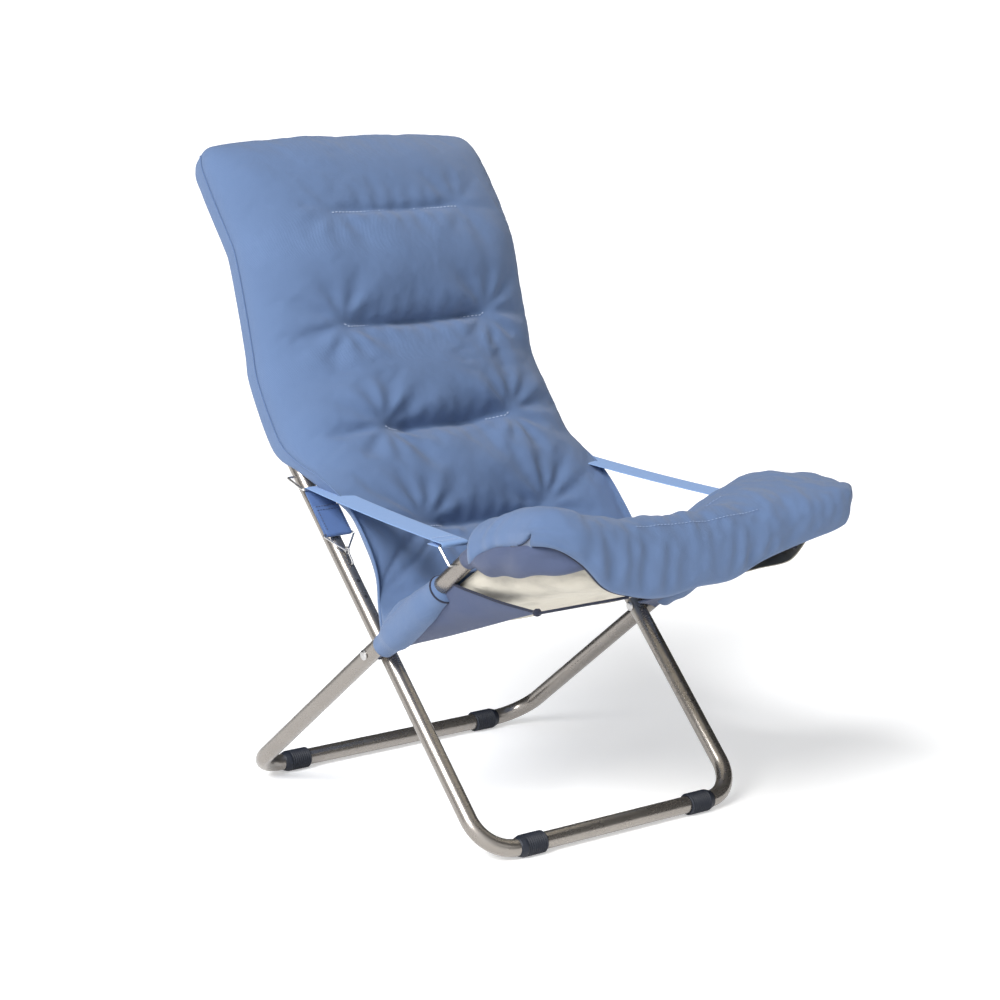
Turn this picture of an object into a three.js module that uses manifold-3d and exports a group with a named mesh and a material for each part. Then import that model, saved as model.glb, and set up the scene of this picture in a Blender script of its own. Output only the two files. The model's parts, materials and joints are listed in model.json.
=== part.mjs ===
// A folding beach armchair: two crossed tube frames on a pair of rivets, a quilted cushion hung between
// them, a canvas sling under the seat, and two webbing arm straps that hold the frames open.
// Millimetres, +Z up. The sitter faces -Y, and the origin is on the floor under the middle of the chair.
// Left and right are the sitter's: the right side lies at -X.
import * as THREE from "three";
import { mergeVertices } from "three/addons/utils/BufferGeometryUtils.js";
import Module from "manifold-3d";

const wasm = await Module();
wasm.setup();

// ---------------------------------------------------------------- driving dimensions
const tubeDiameter = 25;
const tubeWall = 1.5;
const cornerRadius = 55; // bends between a leg and its cross bar, to the tube's axis
const floorBarHeight = 15.5; // axis of both floor bars above the floor
const pivotRise = 243; // pivot above the axes of the floor bars
const frontReach = 229; // front floor bar ahead of the pivot
const rearReach = 318; // rear floor bar behind the pivot
const pivotY = -20.5; // the pivot lies a little ahead of the middle of the chair

const postHalfWidth = 235; // axis of a front leg and back post from the middle plane
const frameClearance = 2; // between the tubes of the two frames, side by side
const postLength = 438; // pivot to the waist bend, along the post
const backLength = 223; // waist bend to neck bend
const backLean = 15.8; // degrees from upright
const headLength = 155; // neck bend to the top bar
const headLean = 36.4;
const waistRadius = 120;
const neckRadius = 110;

const armLength = 301; // pivot to the arm's bend, along the arm
const armFrontLength = 168; // arm's bend to the front bar
const armFrontRise = 11.3; // degrees above level
const armBendRadius = 60;

const postJoint = 385; // pivot to where the back hoop plugs into the post
const armJoint = 50; // arm's bend to where the seat hoop plugs into the arm
const spigotLength = 32;
const spigotWall = 1.2;

const fitClearance = 0.3; // between pieces that touch
const rivetDiameter = 8;
const rivetHeadDiameter = 15;
const rivetHeadHeight = 3;
const washerDiameter = 21;

const footDiameter = 33;
const footLength = 46;
const footRibs = 6;
const footRibDepth = 1.3;
const frontFootPlace = 158; // middle of a foot from the middle plane
const rearFootPlace = 185;

const strapWidth = 44;
const strapThickness = 1.6;
const strapHem = 34; // length of the sewn turn-back at the front
const ringWire = 3.5; // strap rings at the post and the arm
const ringHolePost = 306; // pivot to the ring's cross hole in the post
const ringHoleArm = 275; // pivot to the ring's cross hole in the arm
const postRingLength = 43;
const armRingLength = 33;
const armRingTilt = 45; // degrees above level, pointing back

const hookHoleFirst = 140; // pivot to the uppermost hook hole, along the post
const hookHolePitch = 27.5;
const hookHoleCount = 3;
const hookHoleDiameter = 5.6;
const hookWire = 2.8;
const hookReach = 21.5; // eye to tip
const hookEyeRadius = 4.6;
const tailDrop = 78; // post ring to the lower hem of the strap
const triangleWire = 3;

const chamberGap = 0.6; // between two sewn chambers of the cushion
const cushionCover = 4.5; // fabric and fill behind and beside the tubes
const pocketClearance = 1; // between a tube and the pocket that it runs in
const sleeveGap = 0.6; // arm tube to the cloth sleeve round it
const sleeveWall = 2.4;
const seatSideClearance = 1; // seat cushion to the arm sleeves
const backSideClearance = 2; // lower back cushion to the strap rings beside it
const elasticDiameter = 4;
const slingThickness = 3;
const slingSideClearance = 7; // sling to the posts
const backSeam = 98; // waist to the sewn line of the back
const headSeam = 40; // neck to the sewn line of the head
const seamDepth = 72; // front face ahead of the tubes' axes at a sewn line
const crownDepth = 92; // and at the crown of a chamber
const hemPlace = 328; // pivot to the lower hem of the post pockets, along the post
const creasePlace = 172; // pivot to the sewn line above the seat, along the post
const seatRear = -90; // rear end of the seat cushion, ahead of the pivot
const seatEnd = -300; // front end of the seat cushion, ahead of the pivot
const seatRise = 17; // seat cushion's top above the line of the arms at its rear end
const seatSag = 33; // and below it at its front end
const seatFill = 42;

// ---------------------------------------------------------------- derived places
const rad = THREE.MathUtils.degToRad;
const tubeRadius = tubeDiameter / 2;
const armHalfWidth = postHalfWidth + tubeDiameter + frameClearance;
const pivotZ = floorBarHeight + pivotRise;
const postAngle = Math.atan2(pivotRise, frontReach); // front leg and post above level, leaning back
const armAngle = Math.atan2(pivotRise, rearReach); // rear leg and arm above level, rising forward

// Points of the side view are [y, z].
const pivot = [pivotY, pivotZ];
const polar = (from, length, angle) => [from[0] + length * Math.cos(angle), from[1] + length * Math.sin(angle)];
const onPost = (along, out = 0) => polar(polar(pivot, along, postAngle), out, postAngle + Math.PI / 2);
const onArm = (along, out = 0) => polar(polar(pivot, along, Math.PI - armAngle), out, Math.PI / 2 - armAngle);
const waist = onPost(postLength);
const neck = polar(waist, backLength, Math.PI / 2 - rad(backLean));
const top = polar(neck, headLength, Math.PI / 2 - rad(headLean));
const armBend = onArm(armLength);
const armFrontAngle = Math.PI - rad(armFrontRise);
const seatFront = polar(armBend, armFrontLength, armFrontAngle);
const frontFloor = [pivotY - frontReach, floorBarHeight];
const rearFloor = [pivotY + rearReach, floorBarHeight];

// ---------------------------------------------------------------- shape tools
// A closed geometry as a manifold-3d solid, and the way back.
function solid(geometry) {
  const bare = geometry.index ? geometry.toNonIndexed() : geometry.clone();
  bare.deleteAttribute("normal");
  bare.deleteAttribute("uv");
  const merged = mergeVertices(bare, 1e-4);
  return new wasm.Manifold(
    new wasm.Mesh({
      numProp: 3,
      vertProperties: merged.attributes.position.array,
      triVerts: new Uint32Array(merged.index.array),
    }),
  );
}

function geometryOf(body) {
  const mesh = body.getMesh();
  return new THREE.BufferGeometry()
    .setAttribute("position", new THREE.BufferAttribute(mesh.vertProperties, 3))
    .setIndex(new THREE.BufferAttribute(mesh.triVerts, 1));
}

// A path of straight runs joined by arcs. It is sampled at the ends of the runs and along the arcs only.
class BentPath extends THREE.Curve {
  constructor(corners, radii, arcStep = 18) {
    super();
    this.stations = [];
    corners.forEach((corner, i) => this.addCorner(corners, corner, i, radii[i] ?? 0, arcStep));
  }

  addCorner(corners, corner, i, radius, arcStep) {
    const before = corners[i - 1];
    const after = corners[i + 1];
    if (!before || !after) {
      const tangent = before ? corner.clone().sub(before) : after.clone().sub(corner);
      this.stations.push({ point: corner.clone(), tangent: tangent.normalize() });
      return;
    }
    const into = corner.clone().sub(before).normalize();
    const out = after.clone().sub(corner).normalize();
    const turn = into.angleTo(out);
    const setback = radius * Math.tan(turn / 2);
    const start = corner.clone().addScaledVector(into, -setback);
    const inward = out.clone().addScaledVector(into, -into.dot(out)).normalize();
    const steps = Math.max(1, Math.ceil(THREE.MathUtils.radToDeg(turn) / arcStep));
    for (let k = 0; k <= steps; k++) {
      const a = (turn * k) / steps;
      const point = start
        .clone()
        .addScaledVector(into, radius * Math.sin(a))
        .addScaledVector(inward, radius * (1 - Math.cos(a)));
      const tangent = into.clone().multiplyScalar(Math.cos(a)).addScaledVector(inward, Math.sin(a));
      this.stations.push({ point, tangent });
    }
  }

  get steps() {
    return this.stations.length - 1;
  }

  station(u) {
    return this.stations[Math.round(u * this.steps)];
  }

  getPointAt(u, target = new THREE.Vector3()) {
    return target.copy(this.station(u).point);
  }

  getTangentAt(u, target = new THREE.Vector3()) {
    return target.copy(this.station(u).tangent);
  }
}

function roundSection(radius, bore, sides) {
  const section = new THREE.Shape().absarc(0, 0, radius, 0, 2 * Math.PI);
  if (bore > 0) section.holes.push(new THREE.Path().absarc(0, 0, bore, 0, 2 * Math.PI, true));
  return { section, curveSegments: sides / 2 };
}

// A round bar, or a tube where bore is over 0, along a bent path.
function alongPath(path, radius, bore = 0, sides = 12) {
  const { section, curveSegments } = roundSection(radius, bore, sides);
  return new THREE.ExtrudeGeometry(section, {
    steps: path.steps,
    curveSegments,
    bevelEnabled: false,
    extrudePath: path,
  });
}

// A round pin between two points.
function pin(a, b, radius, sides = 12) {
  return alongPath(new BentPath([a, b], []), radius, 0, sides);
}

// A ring or disc about the X axis, from a profile of [radius, x] points.
function turnedAboutX(profile, segments = 20) {
  const points = profile.map(([r, x]) => new THREE.Vector2(r, x));
  return new THREE.LatheGeometry(points, segments).rotateZ(-Math.PI / 2);
}

// A side outline of [y, z] points, as wide as x goes from -halfWidth to halfWidth.
function acrossX(outline, halfWidth) {
  const shape = new THREE.Shape(outline.map(([y, z]) => new THREE.Vector2(y, z)));
  const slab = new THREE.ExtrudeGeometry(shape, { depth: 2 * halfWidth, bevelEnabled: false });
  slab.translate(0, 0, -halfWidth);
  slab.applyMatrix4(new THREE.Matrix4().set(0, 0, 1, 0, 1, 0, 0, 0, 0, 1, 0, 0, 0, 0, 0, 1));
  return slab;
}

const at = (x, [y, z]) => new THREE.Vector3(x, y, z);

// Corners of a frame part that runs along one side, across, and back along the other side.
function mirroredCorners(side, halfWidth) {
  const near = side.map((point) => at(-halfWidth, point));
  const far = [...side].reverse().map((point) => at(halfWidth, point));
  return [...near, ...far];
}

const mirroredRadii = (radii) => [...radii, ...[...radii].reverse()];

// ---------------------------------------------------------------- tube frames
const boreRadius = tubeRadius - tubeWall;
const frontLegPath = new BentPath(mirroredCorners([onPost(postJoint), frontFloor], postHalfWidth), [
  0,
  cornerRadius,
  cornerRadius,
  0,
]);
const backHoopPath = new BentPath(
  mirroredCorners([onPost(postJoint + fitClearance), waist, neck, top], postHalfWidth),
  mirroredRadii([0, waistRadius, neckRadius, cornerRadius]),
);
const armJointPlace = polar(armBend, armJoint, armFrontAngle);
const rearLegPath = new BentPath(
  mirroredCorners([armJointPlace, armBend, rearFloor], armHalfWidth),
  mirroredRadii([0, armBendRadius, cornerRadius]),
);
const seatHoopPath = new BentPath(
  mirroredCorners([polar(armJointPlace, fitClearance, armFrontAngle), seatFront], armHalfWidth),
  mirroredRadii([0, cornerRadius]),
);

const tube = (path) => solid(alongPath(path, tubeRadius, boreRadius));

// The plain pins that drill a tube across, along X, at a point of the side view.
function crossHole([y, z], x, diameter) {
  const reach = tubeDiameter;
  return solid(pin(new THREE.Vector3(x - reach, y, z), new THREE.Vector3(x + reach, y, z), diameter / 2));
}

// A hole in the upper wall of a post, square to the post.
function hookHole(along, x) {
  return solid(pin(at(x, onPost(along, 0)), at(x, onPost(along, tubeDiameter)), hookHoleDiameter / 2, 12));
}

const hookHoles = Array.from({ length: hookHoleCount }, (_, i) => hookHoleFirst - i * hookHolePitch);

function frontLegTube() {
  let body = tube(frontLegPath);
  for (const x of [-postHalfWidth, postHalfWidth]) {
    body = body.subtract(crossHole(pivot, x, rivetDiameter + 2 * fitClearance));
    body = body.subtract(crossHole(onPost(ringHolePost), x, ringWire + 2 * fitClearance));
    for (const along of hookHoles) body = body.subtract(hookHole(along, x));
  }
  return body;
}

function rearLegTube() {
  let body = tube(rearLegPath);
  for (const x of [-armHalfWidth, armHalfWidth]) {
    body = body.subtract(crossHole(pivot, x, rivetDiameter + 2 * fitClearance));
    body = body.subtract(crossHole(onArm(ringHoleArm), x, ringWire + 2 * fitClearance));
  }
  return body;
}

// The swaged end of a hoop: a thinner tube that plugs into the bore of the leg tube.
function spigot(x, place, angle) {
  const radius = boreRadius - fitClearance;
  const path = new BentPath([at(x, polar(place, -spigotLength, angle)), at(x, polar(place, 2, angle))], []);
  return solid(alongPath(path, radius, radius - spigotWall));
}

// The collar that closes a hoop's end down to its spigot.
function collar(x, place, angle) {
  const radius = boreRadius - fitClearance;
  const path = new BentPath([at(x, place), at(x, polar(place, 2, angle))], []);
  return solid(alongPath(path, tubeRadius - 0.2, radius - spigotWall));
}

function hoop(path, halfWidth, place, angle) {
  let body = tube(path);
  for (const x of [-halfWidth, halfWidth]) {
    body = body.add(collar(x, place, angle)).add(spigot(x, place, angle));
  }
  return body;
}

const backHoop = () => hoop(backHoopPath, postHalfWidth, onPost(postJoint + fitClearance), postAngle);
const seatHoop = () =>
  hoop(seatHoopPath, armHalfWidth, polar(armJointPlace, fitClearance, armFrontAngle), armFrontAngle);

// ---------------------------------------------------------------- pivots and feet
// A rivet through both tubes of one side, with a low domed head at each end.
function rivet(side) {
  const shank = rivetDiameter / 2;
  const head = rivetHeadDiameter / 2;
  const inner = postHalfWidth - tubeRadius - fitClearance;
  const outer = armHalfWidth + tubeRadius + fitClearance;
  const profile = [
    [0, inner - rivetHeadHeight],
    [head * 0.6, inner - rivetHeadHeight * 0.85],
    [head, inner - rivetHeadHeight * 0.3],
    [head, inner],
    [shank, inner],
    [shank, outer],
    [head, outer],
    [head, outer + rivetHeadHeight * 0.3],
    [head * 0.6, outer + rivetHeadHeight * 0.85],
    [0, outer + rivetHeadHeight],
  ];
  return solid(sided(turnedAboutX(profile, 16), side).translate(0, ...pivot));
}

// A washer between the two tubes of one side.
function pivotWasher(side) {
  const bore = rivetDiameter / 2 + fitClearance;
  const from = postHalfWidth + tubeRadius + fitClearance;
  const to = armHalfWidth - tubeRadius - fitClearance;
  const rim = washerDiameter / 2;
  const profile = [
    [bore, from],
    [rim, from],
    [rim, to],
    [bore, to],
    [bore, from],
  ];
  return solid(sided(turnedAboutX(profile, 24), side).translate(0, ...pivot));
}

// A shape drawn for +X, turned over to -X where side is -1.
function sided(geometry, side) {
  return side > 0 ? geometry : geometry.rotateZ(Math.PI);
}

// A ribbed rubber sleeve on a floor bar, with a flat underside that stands on the floor.
function footSleeve(x, [y, z]) {
  const sides = 14;
  const bore = (tubeRadius + fitClearance) / Math.cos(Math.PI / sides);
  const rim = footDiameter / 2;
  const groove = rim - footRibDepth;
  const pitch = footLength / footRibs;
  const profile = [[bore, -footLength / 2]];
  for (let i = 0; i < footRibs; i++) {
    const start = -footLength / 2 + i * pitch;
    profile.push([i ? groove : rim, start + pitch * (i ? 0.15 : 0)]);
    profile.push([rim, start + pitch * 0.3]);
    profile.push([rim, start + pitch * (i < footRibs - 1 ? 0.85 : 1)]);
    if (i < footRibs - 1) profile.push([groove, start + pitch]);
  }
  profile.push([bore, footLength / 2], [bore, -footLength / 2]);
  const sleeve = solid(turnedAboutX(profile, sides).translate(x, y, z));
  const under = new THREE.BoxGeometry(2 * footLength, 2 * footDiameter, footDiameter);
  return sleeve.subtract(solid(under.translate(x, y, -footDiameter / 2)));
}

// ---------------------------------------------------------------- arm straps and their wire fittings
const ringBend = 2.5;
const ringHalfWidth = strapWidth / 2 + ringBend + 0.8;
const wireStandoff = ringWire / 2 + strapThickness / 2 + 0.4; // ring's axis to the middle of the webbing
const postRingHole = onPost(ringHolePost);
const tailOut = tubeRadius + 6; // lower run of the strap from the post's axis
const postRingBar = onPost(ringHolePost - postRingLength * 0.86, tubeRadius + 6 + wireStandoff);
const armRingHole = onArm(ringHoleArm);
const armRingBar = polar(armRingHole, armRingLength, rad(armRingTilt));

// A rectangular wire ring: one bar runs through the tube, the strap turns round the other.
function strapRing(side, x, hole, bar) {
  const c = side * x;
  const corners = [
    at(c + 0.5, hole),
    at(c + ringHalfWidth, hole),
    at(c + ringHalfWidth, bar),
    at(c - ringHalfWidth, bar),
    at(c - ringHalfWidth, hole),
    at(c - 0.5, hole),
  ];
  const bends = [0, ringBend, ringBend, ringBend, ringBend, 0];
  return solid(alongPath(new BentPath(corners, bends, 30), ringWire / 2, 0, 6));
}

// Points of a circle in the side view, from one angle to another.
function arcPoints(centre, radius, from, to, steps) {
  return Array.from({ length: steps + 1 }, (_, i) => polar(centre, radius, from + ((to - from) * i) / steps));
}

const triangleHalfWidth = strapWidth / 2 + 6.5;
const triangleBase = onPost(ringHolePost - postRingLength * 0.86 - tailDrop, tailOut);
const hookEye = onPost(hookHoleFirst + hookReach * Math.cos(rad(19)), tubeRadius + 7);

// The middle line of the webbing in the side view, from the sewn turn-back, round the arm ring, back over
// the post ring, down along the post, round the triangle, and up again to the box stitch. The third number
// is the share of the way from the post's plane, 0, to the arm's, 1.
function strapLine() {
  const run = Math.atan2(postRingBar[1] - armRingBar[1], postRingBar[0] - armRingBar[0]);
  const length = Math.hypot(postRingBar[1] - armRingBar[1], postRingBar[0] - armRingBar[0]);
  const down = postAngle + Math.PI;
  const loop = triangleWire / 2 + strapThickness / 2 + 0.4;
  const under = polar(armRingBar, wireStandoff, run - Math.PI / 2);
  const inArmPlane = (points) => points.map((point) => [...point, 1]);
  const inPostPlane = (points) => points.map((point) => [...point, 0]);
  return [
    [...polar(under, strapHem, run - rad(2)), 1 - strapHem / length],
    ...inArmPlane(arcPoints(armRingBar, wireStandoff, run - Math.PI / 2, run - 1.5 * Math.PI, 8)),
    ...inPostPlane(arcPoints(postRingBar, wireStandoff, run + Math.PI / 2, down - 1.5 * Math.PI, 7)),
    ...inPostPlane(arcPoints(triangleBase, loop, postAngle - Math.PI / 2, postAngle - 1.5 * Math.PI, 8)),
    [...polar(polar(triangleBase, loop, postAngle + Math.PI / 2), tailDrop * 0.62, postAngle), 0],
  ];
}

// Unit normals of a side-view line.
function normalsOf(line) {
  return line.map((_, i) => {
    const a = line[Math.max(0, i - 1)];
    const b = line[Math.min(line.length - 1, i + 1)];
    const length = Math.hypot(b[0] - a[0], b[1] - a[1]);
    return [(a[1] - b[1]) / length, (b[0] - a[0]) / length];
  });
}

// A sheet's side outline: its middle line moved half the thickness to either side.
function sheetOutline(line, thickness) {
  const normals = normalsOf(line);
  const move = (k) => line.map(([y, z], i) => [y + normals[i][0] * k, z + normals[i][1] * k]);
  return [...move(thickness / 2), ...move(-thickness / 2).reverse()];
}

// A flat band with its middle line at [y, z, share], which shifts sideways from x at share 0 to x at share 1.
function band(line, thickness, width, [from, to]) {
  const normals = normalsOf(line);
  const corners = [
    [-1, -1],
    [1, -1],
    [1, 1],
    [-1, 1],
  ];
  const positions = line.flatMap(([y, z, share], i) =>
    corners.flatMap(([across, out]) => [
      THREE.MathUtils.lerp(from, to, share) + (across * width) / 2,
      y + (normals[i][0] * out * thickness) / 2,
      z + (normals[i][1] * out * thickness) / 2,
    ]),
  );
  const faces = [0, 1, 2, 0, 2, 3];
  for (let i = 0; i + 1 < line.length; i++) {
    for (let k = 0; k < 4; k++) {
      const [a, b] = [4 * i + k, 4 * i + ((k + 1) % 4)];
      faces.push(a, a + 4, b, b, a + 4, b + 4);
    }
  }
  const last = 4 * (line.length - 1);
  faces.push(last, last + 2, last + 1, last, last + 3, last + 2);
  return new THREE.BufferGeometry()
    .setAttribute("position", new THREE.Float32BufferAttribute(positions, 3))
    .setIndex(faces);
}

// Each strap runs a little outwards, from the post's plane to the arm's.
function armStrap(side) {
  return solid(band(strapLine(), strapThickness, strapWidth, [side * postHalfWidth, side * armHalfWidth]));
}

// The triangle that hangs in the strap's lower loop, with its point towards the hook.
function strapTriangle(side) {
  const x = side * postHalfWidth;
  const corners = [
    at(x + 0.4, triangleBase),
    at(x + triangleHalfWidth, triangleBase),
    at(x, polar(hookEye, 1.5, postAngle + Math.PI)),
    at(x - triangleHalfWidth, triangleBase),
    at(x - 0.4, triangleBase),
  ];
  return solid(alongPath(new BentPath(corners, [0, 2.4, 3.5, 2.4, 0], 25), triangleWire / 2, 0, 6));
}

// The wire hook: an eye round the triangle's point, a straight shank, and a tip that turns into a hole of
// the post along a circle about the eye, so that it can swing out of the hole.
function strapHook(side) {
  const x = side * postHalfWidth;
  const down = postAngle + Math.PI;
  const eye = arcPoints(hookEye, hookEyeRadius, down - rad(320), down - rad(20), 9);
  const tip = arcPoints(hookEye, hookReach, down + rad(7), down + rad(30), 4);
  const line = [...eye, polar(hookEye, hookReach - 1.6, down + rad(1)), ...tip].map((p) => at(x, p));
  return solid(
    new THREE.ExtrudeGeometry(roundSection(hookWire / 2, 0, 6).section, {
      steps: 26,
      curveSegments: 3,
      bevelEnabled: false,
      extrudePath: new THREE.CatmullRomCurve3(line),
    }),
  );
}

// ---------------------------------------------------------------- cushion, sling and trim
// The cushion's side outline is given against the frame: behind the tubes it follows them, in front it
// stands off by the thickness of the fill. Each chamber is closed by the sewn lines at its two ends.
const cushionHalfWidth = postHalfWidth + tubeRadius + cushionCover;
const behind = -(tubeRadius + cushionCover);
const onBack = (along, out = 0) => polar(polar(waist, along, Math.PI / 2 - rad(backLean)), out, Math.PI - rad(backLean));
const onHead = (along, out = 0) => polar(polar(neck, along, Math.PI / 2 - rad(headLean)), out, Math.PI - rad(headLean));

const pocket = (path) => solid(alongPath(path, tubeRadius + pocketClearance, 0, 12));
const postPocketPath = new BentPath(
  mirroredCorners([onPost(hemPlace - 60), waist, neck, top], postHalfWidth),
  mirroredRadii([0, waistRadius, neckRadius, cornerRadius]),
);

const armPocketPath = new BentPath(
  mirroredCorners([onArm(armLength - 60), armBend, seatFront], armHalfWidth),
  mirroredRadii([0, armBendRadius, cornerRadius]),
);

function headChamber() {
  const outline = [
    onHead(headSeam, behind),
    onHead(headLength - 10, behind - 3),
    onHead(headLength + 22, -14),
    onHead(headLength + 27, 14),
    onHead(headLength + 4, 44),
    onHead(headLength - 60, 66),
    onHead(headSeam, seamDepth),
  ];
  return solid(acrossX(outline, cushionHalfWidth)).subtract(pocket(postPocketPath));
}

function upperBackChamber() {
  const outline = [
    onBack(backSeam, behind),
    onBack(backLength - 6, behind - 1),
    onHead(headSeam - chamberGap, behind),
    onHead(headSeam - chamberGap, seamDepth),
    onHead(-14, crownDepth - 4),
    onBack(160, crownDepth),
    onBack(backSeam, seamDepth),
  ];
  return solid(acrossX(outline, cushionHalfWidth)).subtract(pocket(postPocketPath));
}

function middleBackChamber() {
  const outline = [
    onPost(hemPlace, behind),
    onPost(postLength + 2, behind),
    onBack(backSeam - chamberGap, behind),
    onBack(backSeam - chamberGap, seamDepth),
    onBack(40, crownDepth),
    onPost(postLength - 76, crownDepth),
    onPost(hemPlace, seamDepth),
  ];
  return solid(acrossX(outline, cushionHalfWidth)).subtract(pocket(postPocketPath));
}

const fittingReach = Math.max(ringHalfWidth + ringWire / 2, triangleHalfWidth + triangleWire / 2);
const lowerHalfWidth = postHalfWidth - fittingReach - backSideClearance;

function lowerBackChamber() {
  const outline = [
    onPost(creasePlace + 22, 6),
    onPost(hemPlace - chamberGap, 6),
    onPost(hemPlace - chamberGap, seamDepth),
    onPost(hemPlace - 70, 84),
    onPost(creasePlace, 58),
  ];
  return solid(acrossX(outline, lowerHalfWidth));
}

// Points of the crease are given ahead of and above the pivot. The seat's top is given against the line of
// the arms, which it hangs below at the front.
const fromPivot = (ahead, up) => [pivotY + ahead, pivotZ + up];
const fromArm = (ahead, up) => fromPivot(ahead, up - ahead * Math.tan(armAngle));
const seatLevel = [
  [seatRear, seatRise],
  [-150, -3],
  [-225, -22],
  [seatEnd, -seatSag],
];

function creaseChamber() {
  const outline = [
    onPost(creasePlace, 58 - chamberGap),
    fromPivot(10, 100),
    fromPivot(-45, 84),
    fromArm(seatRear + chamberGap, seatRise),
    fromArm(seatRear + chamberGap, seatRise - seatFill),
    fromPivot(-15, 25),
    fromPivot(20, 25),
    onPost(creasePlace + 22 - chamberGap, 6),
  ];
  return solid(acrossX(outline, lowerHalfWidth));
}

function seatChamber() {
  const outline = [
    ...seatLevel.map(([ahead, up]) => fromArm(ahead, up)),
    ...[...seatLevel].reverse().map(([ahead, up]) => fromArm(ahead, up - seatFill)),
  ];
  return solid(acrossX(outline, armHalfWidth - tubeRadius - sleeveGap - sleeveWall - seatSideClearance));
}

// The sling lies against the underside of the seat cushion and ends under the crease.
function baseSling() {
  const drop = seatFill + slingThickness / 2 + chamberGap;
  const line = [fromPivot(-30, 12), ...seatLevel.map(([ahead, up]) => fromArm(ahead, up - drop))];
  return solid(acrossX(sheetOutline(line, slingThickness), postHalfWidth - tubeRadius - slingSideClearance));
}

// The front of the cushion laps over the seat hoop's bar and hangs ahead of it, deepest in the middle.
// Heights of its lower and upper edges above the bar, at places across the chair.
const flounceReach = armHalfWidth + tubeRadius + 9;
const flounceShoulder = 150;
const flounceLower = [
  [-flounceReach, -8],
  [-flounceShoulder, -52],
  [0, -84],
  [flounceShoulder, -52],
  [flounceReach, -8],
];
const flounceUpper = [
  [flounceReach, 20],
  [flounceReach - 30, 44],
  [flounceShoulder, 26],
  [0, 15],
  [-flounceShoulder, 26],
  [30 - flounceReach, 44],
  [-flounceReach, 20],
];

function frontFlounce() {
  const [y, z] = seatFront;
  const rear = pivotY + seatEnd - chamberGap;
  const side = [
    [rear, z - 30],
    [rear, z + 34],
    [y, z + 44],
    [y - 22, z + 30],
    [y - 32, z - 8],
    [y - 27, z - 62],
    [y - 4, z - 84],
    [y + 14, z - 66],
  ];
  const face = new THREE.Shape([...flounceLower, ...flounceUpper].map(([x, up]) => new THREE.Vector2(x, z + up)));
  const depth = 200;
  const across = new THREE.ExtrudeGeometry(face, { depth, bevelEnabled: false });
  across.rotateX(Math.PI / 2).translate(0, y + 0.75 * depth, 0);
  return solid(acrossX(side, flounceReach)).intersect(solid(across)).subtract(pocket(armPocketPath));
}

// The fabric sleeve round an arm tube, from just ahead of the pivot to the strap ring.
function armSleeve(side) {
  const path = new BentPath([at(side * armHalfWidth, onArm(32)), at(side * armHalfWidth, onArm(238))], []);
  return solid(alongPath(path, tubeRadius + sleeveGap + sleeveWall, tubeRadius + sleeveGap, 14));
}

// The elastic under the lower hem of the flounce.
function hemElastic() {
  const [y, z] = seatFront;
  const drop = elasticDiameter / 2 + fitClearance;
  const end = flounceShoulder + 90;
  const slope = (flounceLower[4][1] - flounceLower[3][1]) / (flounceReach - flounceShoulder);
  const line = [
    [-end, flounceLower[3][1] + slope * (end - flounceShoulder)],
    ...flounceLower.slice(1, 4),
    [end, flounceLower[3][1] + slope * (end - flounceShoulder)],
  ];
  const corners = line.map(([x, up]) => new THREE.Vector3(x, y + 2, z + up - drop));
  return solid(alongPath(new BentPath(corners, [0, 10, 10, 10, 0]), elasticDiameter / 2, 0, 8));
}

// A small plain fabric tab in the side seam of the cushion.
function seamTab() {
  const [y, z] = onPost(postLength - 12, 4);
  return solid(new THREE.BoxGeometry(9, 3, 16).translate(-cushionHalfWidth - 5, y, z));
}

// ---------------------------------------------------------------- finishes
const finish = (color, roughness, metalness) => () => new THREE.MeshStandardMaterial({ color, roughness, metalness });
const satinSteel = finish(0x8d857a, 0.35, 1);
const wireSteel = finish(0xb4b2ae, 0.3, 1);
const rubber = finish(0x1d2230, 0.75, 0);
const nylon = finish(0x2b2b2d, 0.5, 0);
const blueCloth = finish(0x6f92bf, 0.85, 0);
const creamCanvas = finish(0xe6e0cf, 0.9, 0);
const blueWebbing = finish(0x7e9dcc, 0.8, 0);
const blackElastic = finish(0x1a1a1e, 0.8, 0);
const pinkTab = finish(0xb0186a, 0.7, 0);

// ---------------------------------------------------------------- assembly
const chair = new THREE.Group();

function place(name, body, material) {
  const mesh = new THREE.Mesh(geometryOf(body), material());
  mesh.geometry.computeVertexNormals();
  mesh.name = name;
  chair.add(mesh);
}

place("front_leg_tube", frontLegTube(), satinSteel);
place("back_hoop", backHoop(), satinSteel);
place("rear_leg_tube", rearLegTube(), satinSteel);
place("seat_hoop", seatHoop(), satinSteel);
for (const [name, side] of [["right", -1], ["left", 1]]) {
  place("pivot_rivet_" + name, rivet(side), wireSteel);
  place("pivot_washer_" + name, pivotWasher(side), nylon);
  place("front_foot_" + name, footSleeve(side * frontFootPlace, frontFloor), rubber);
  place("rear_foot_" + name, footSleeve(side * rearFootPlace, rearFloor), rubber);
  place("post_strap_ring_" + name, strapRing(side, postHalfWidth, postRingHole, postRingBar), wireSteel);
  place("arm_strap_ring_" + name, strapRing(side, armHalfWidth, armRingHole, armRingBar), wireSteel);
  place("arm_strap_" + name, armStrap(side), blueWebbing);
  place("strap_triangle_" + name, strapTriangle(side), wireSteel);
  place("strap_hook_" + name, strapHook(side), wireSteel);
  place("arm_sleeve_" + name, armSleeve(side), blueCloth);
}
place("head_chamber", headChamber(), blueCloth);
place("upper_back_chamber", upperBackChamber(), blueCloth);
place("middle_back_chamber", middleBackChamber(), blueCloth);
place("lower_back_chamber", lowerBackChamber(), blueCloth);
place("crease_chamber", creaseChamber(), blueCloth);
place("seat_chamber", seatChamber(), blueCloth);
place("front_flounce", frontFlounce(), blueCloth);
place("base_sling", baseSling(), creamCanvas);
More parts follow.
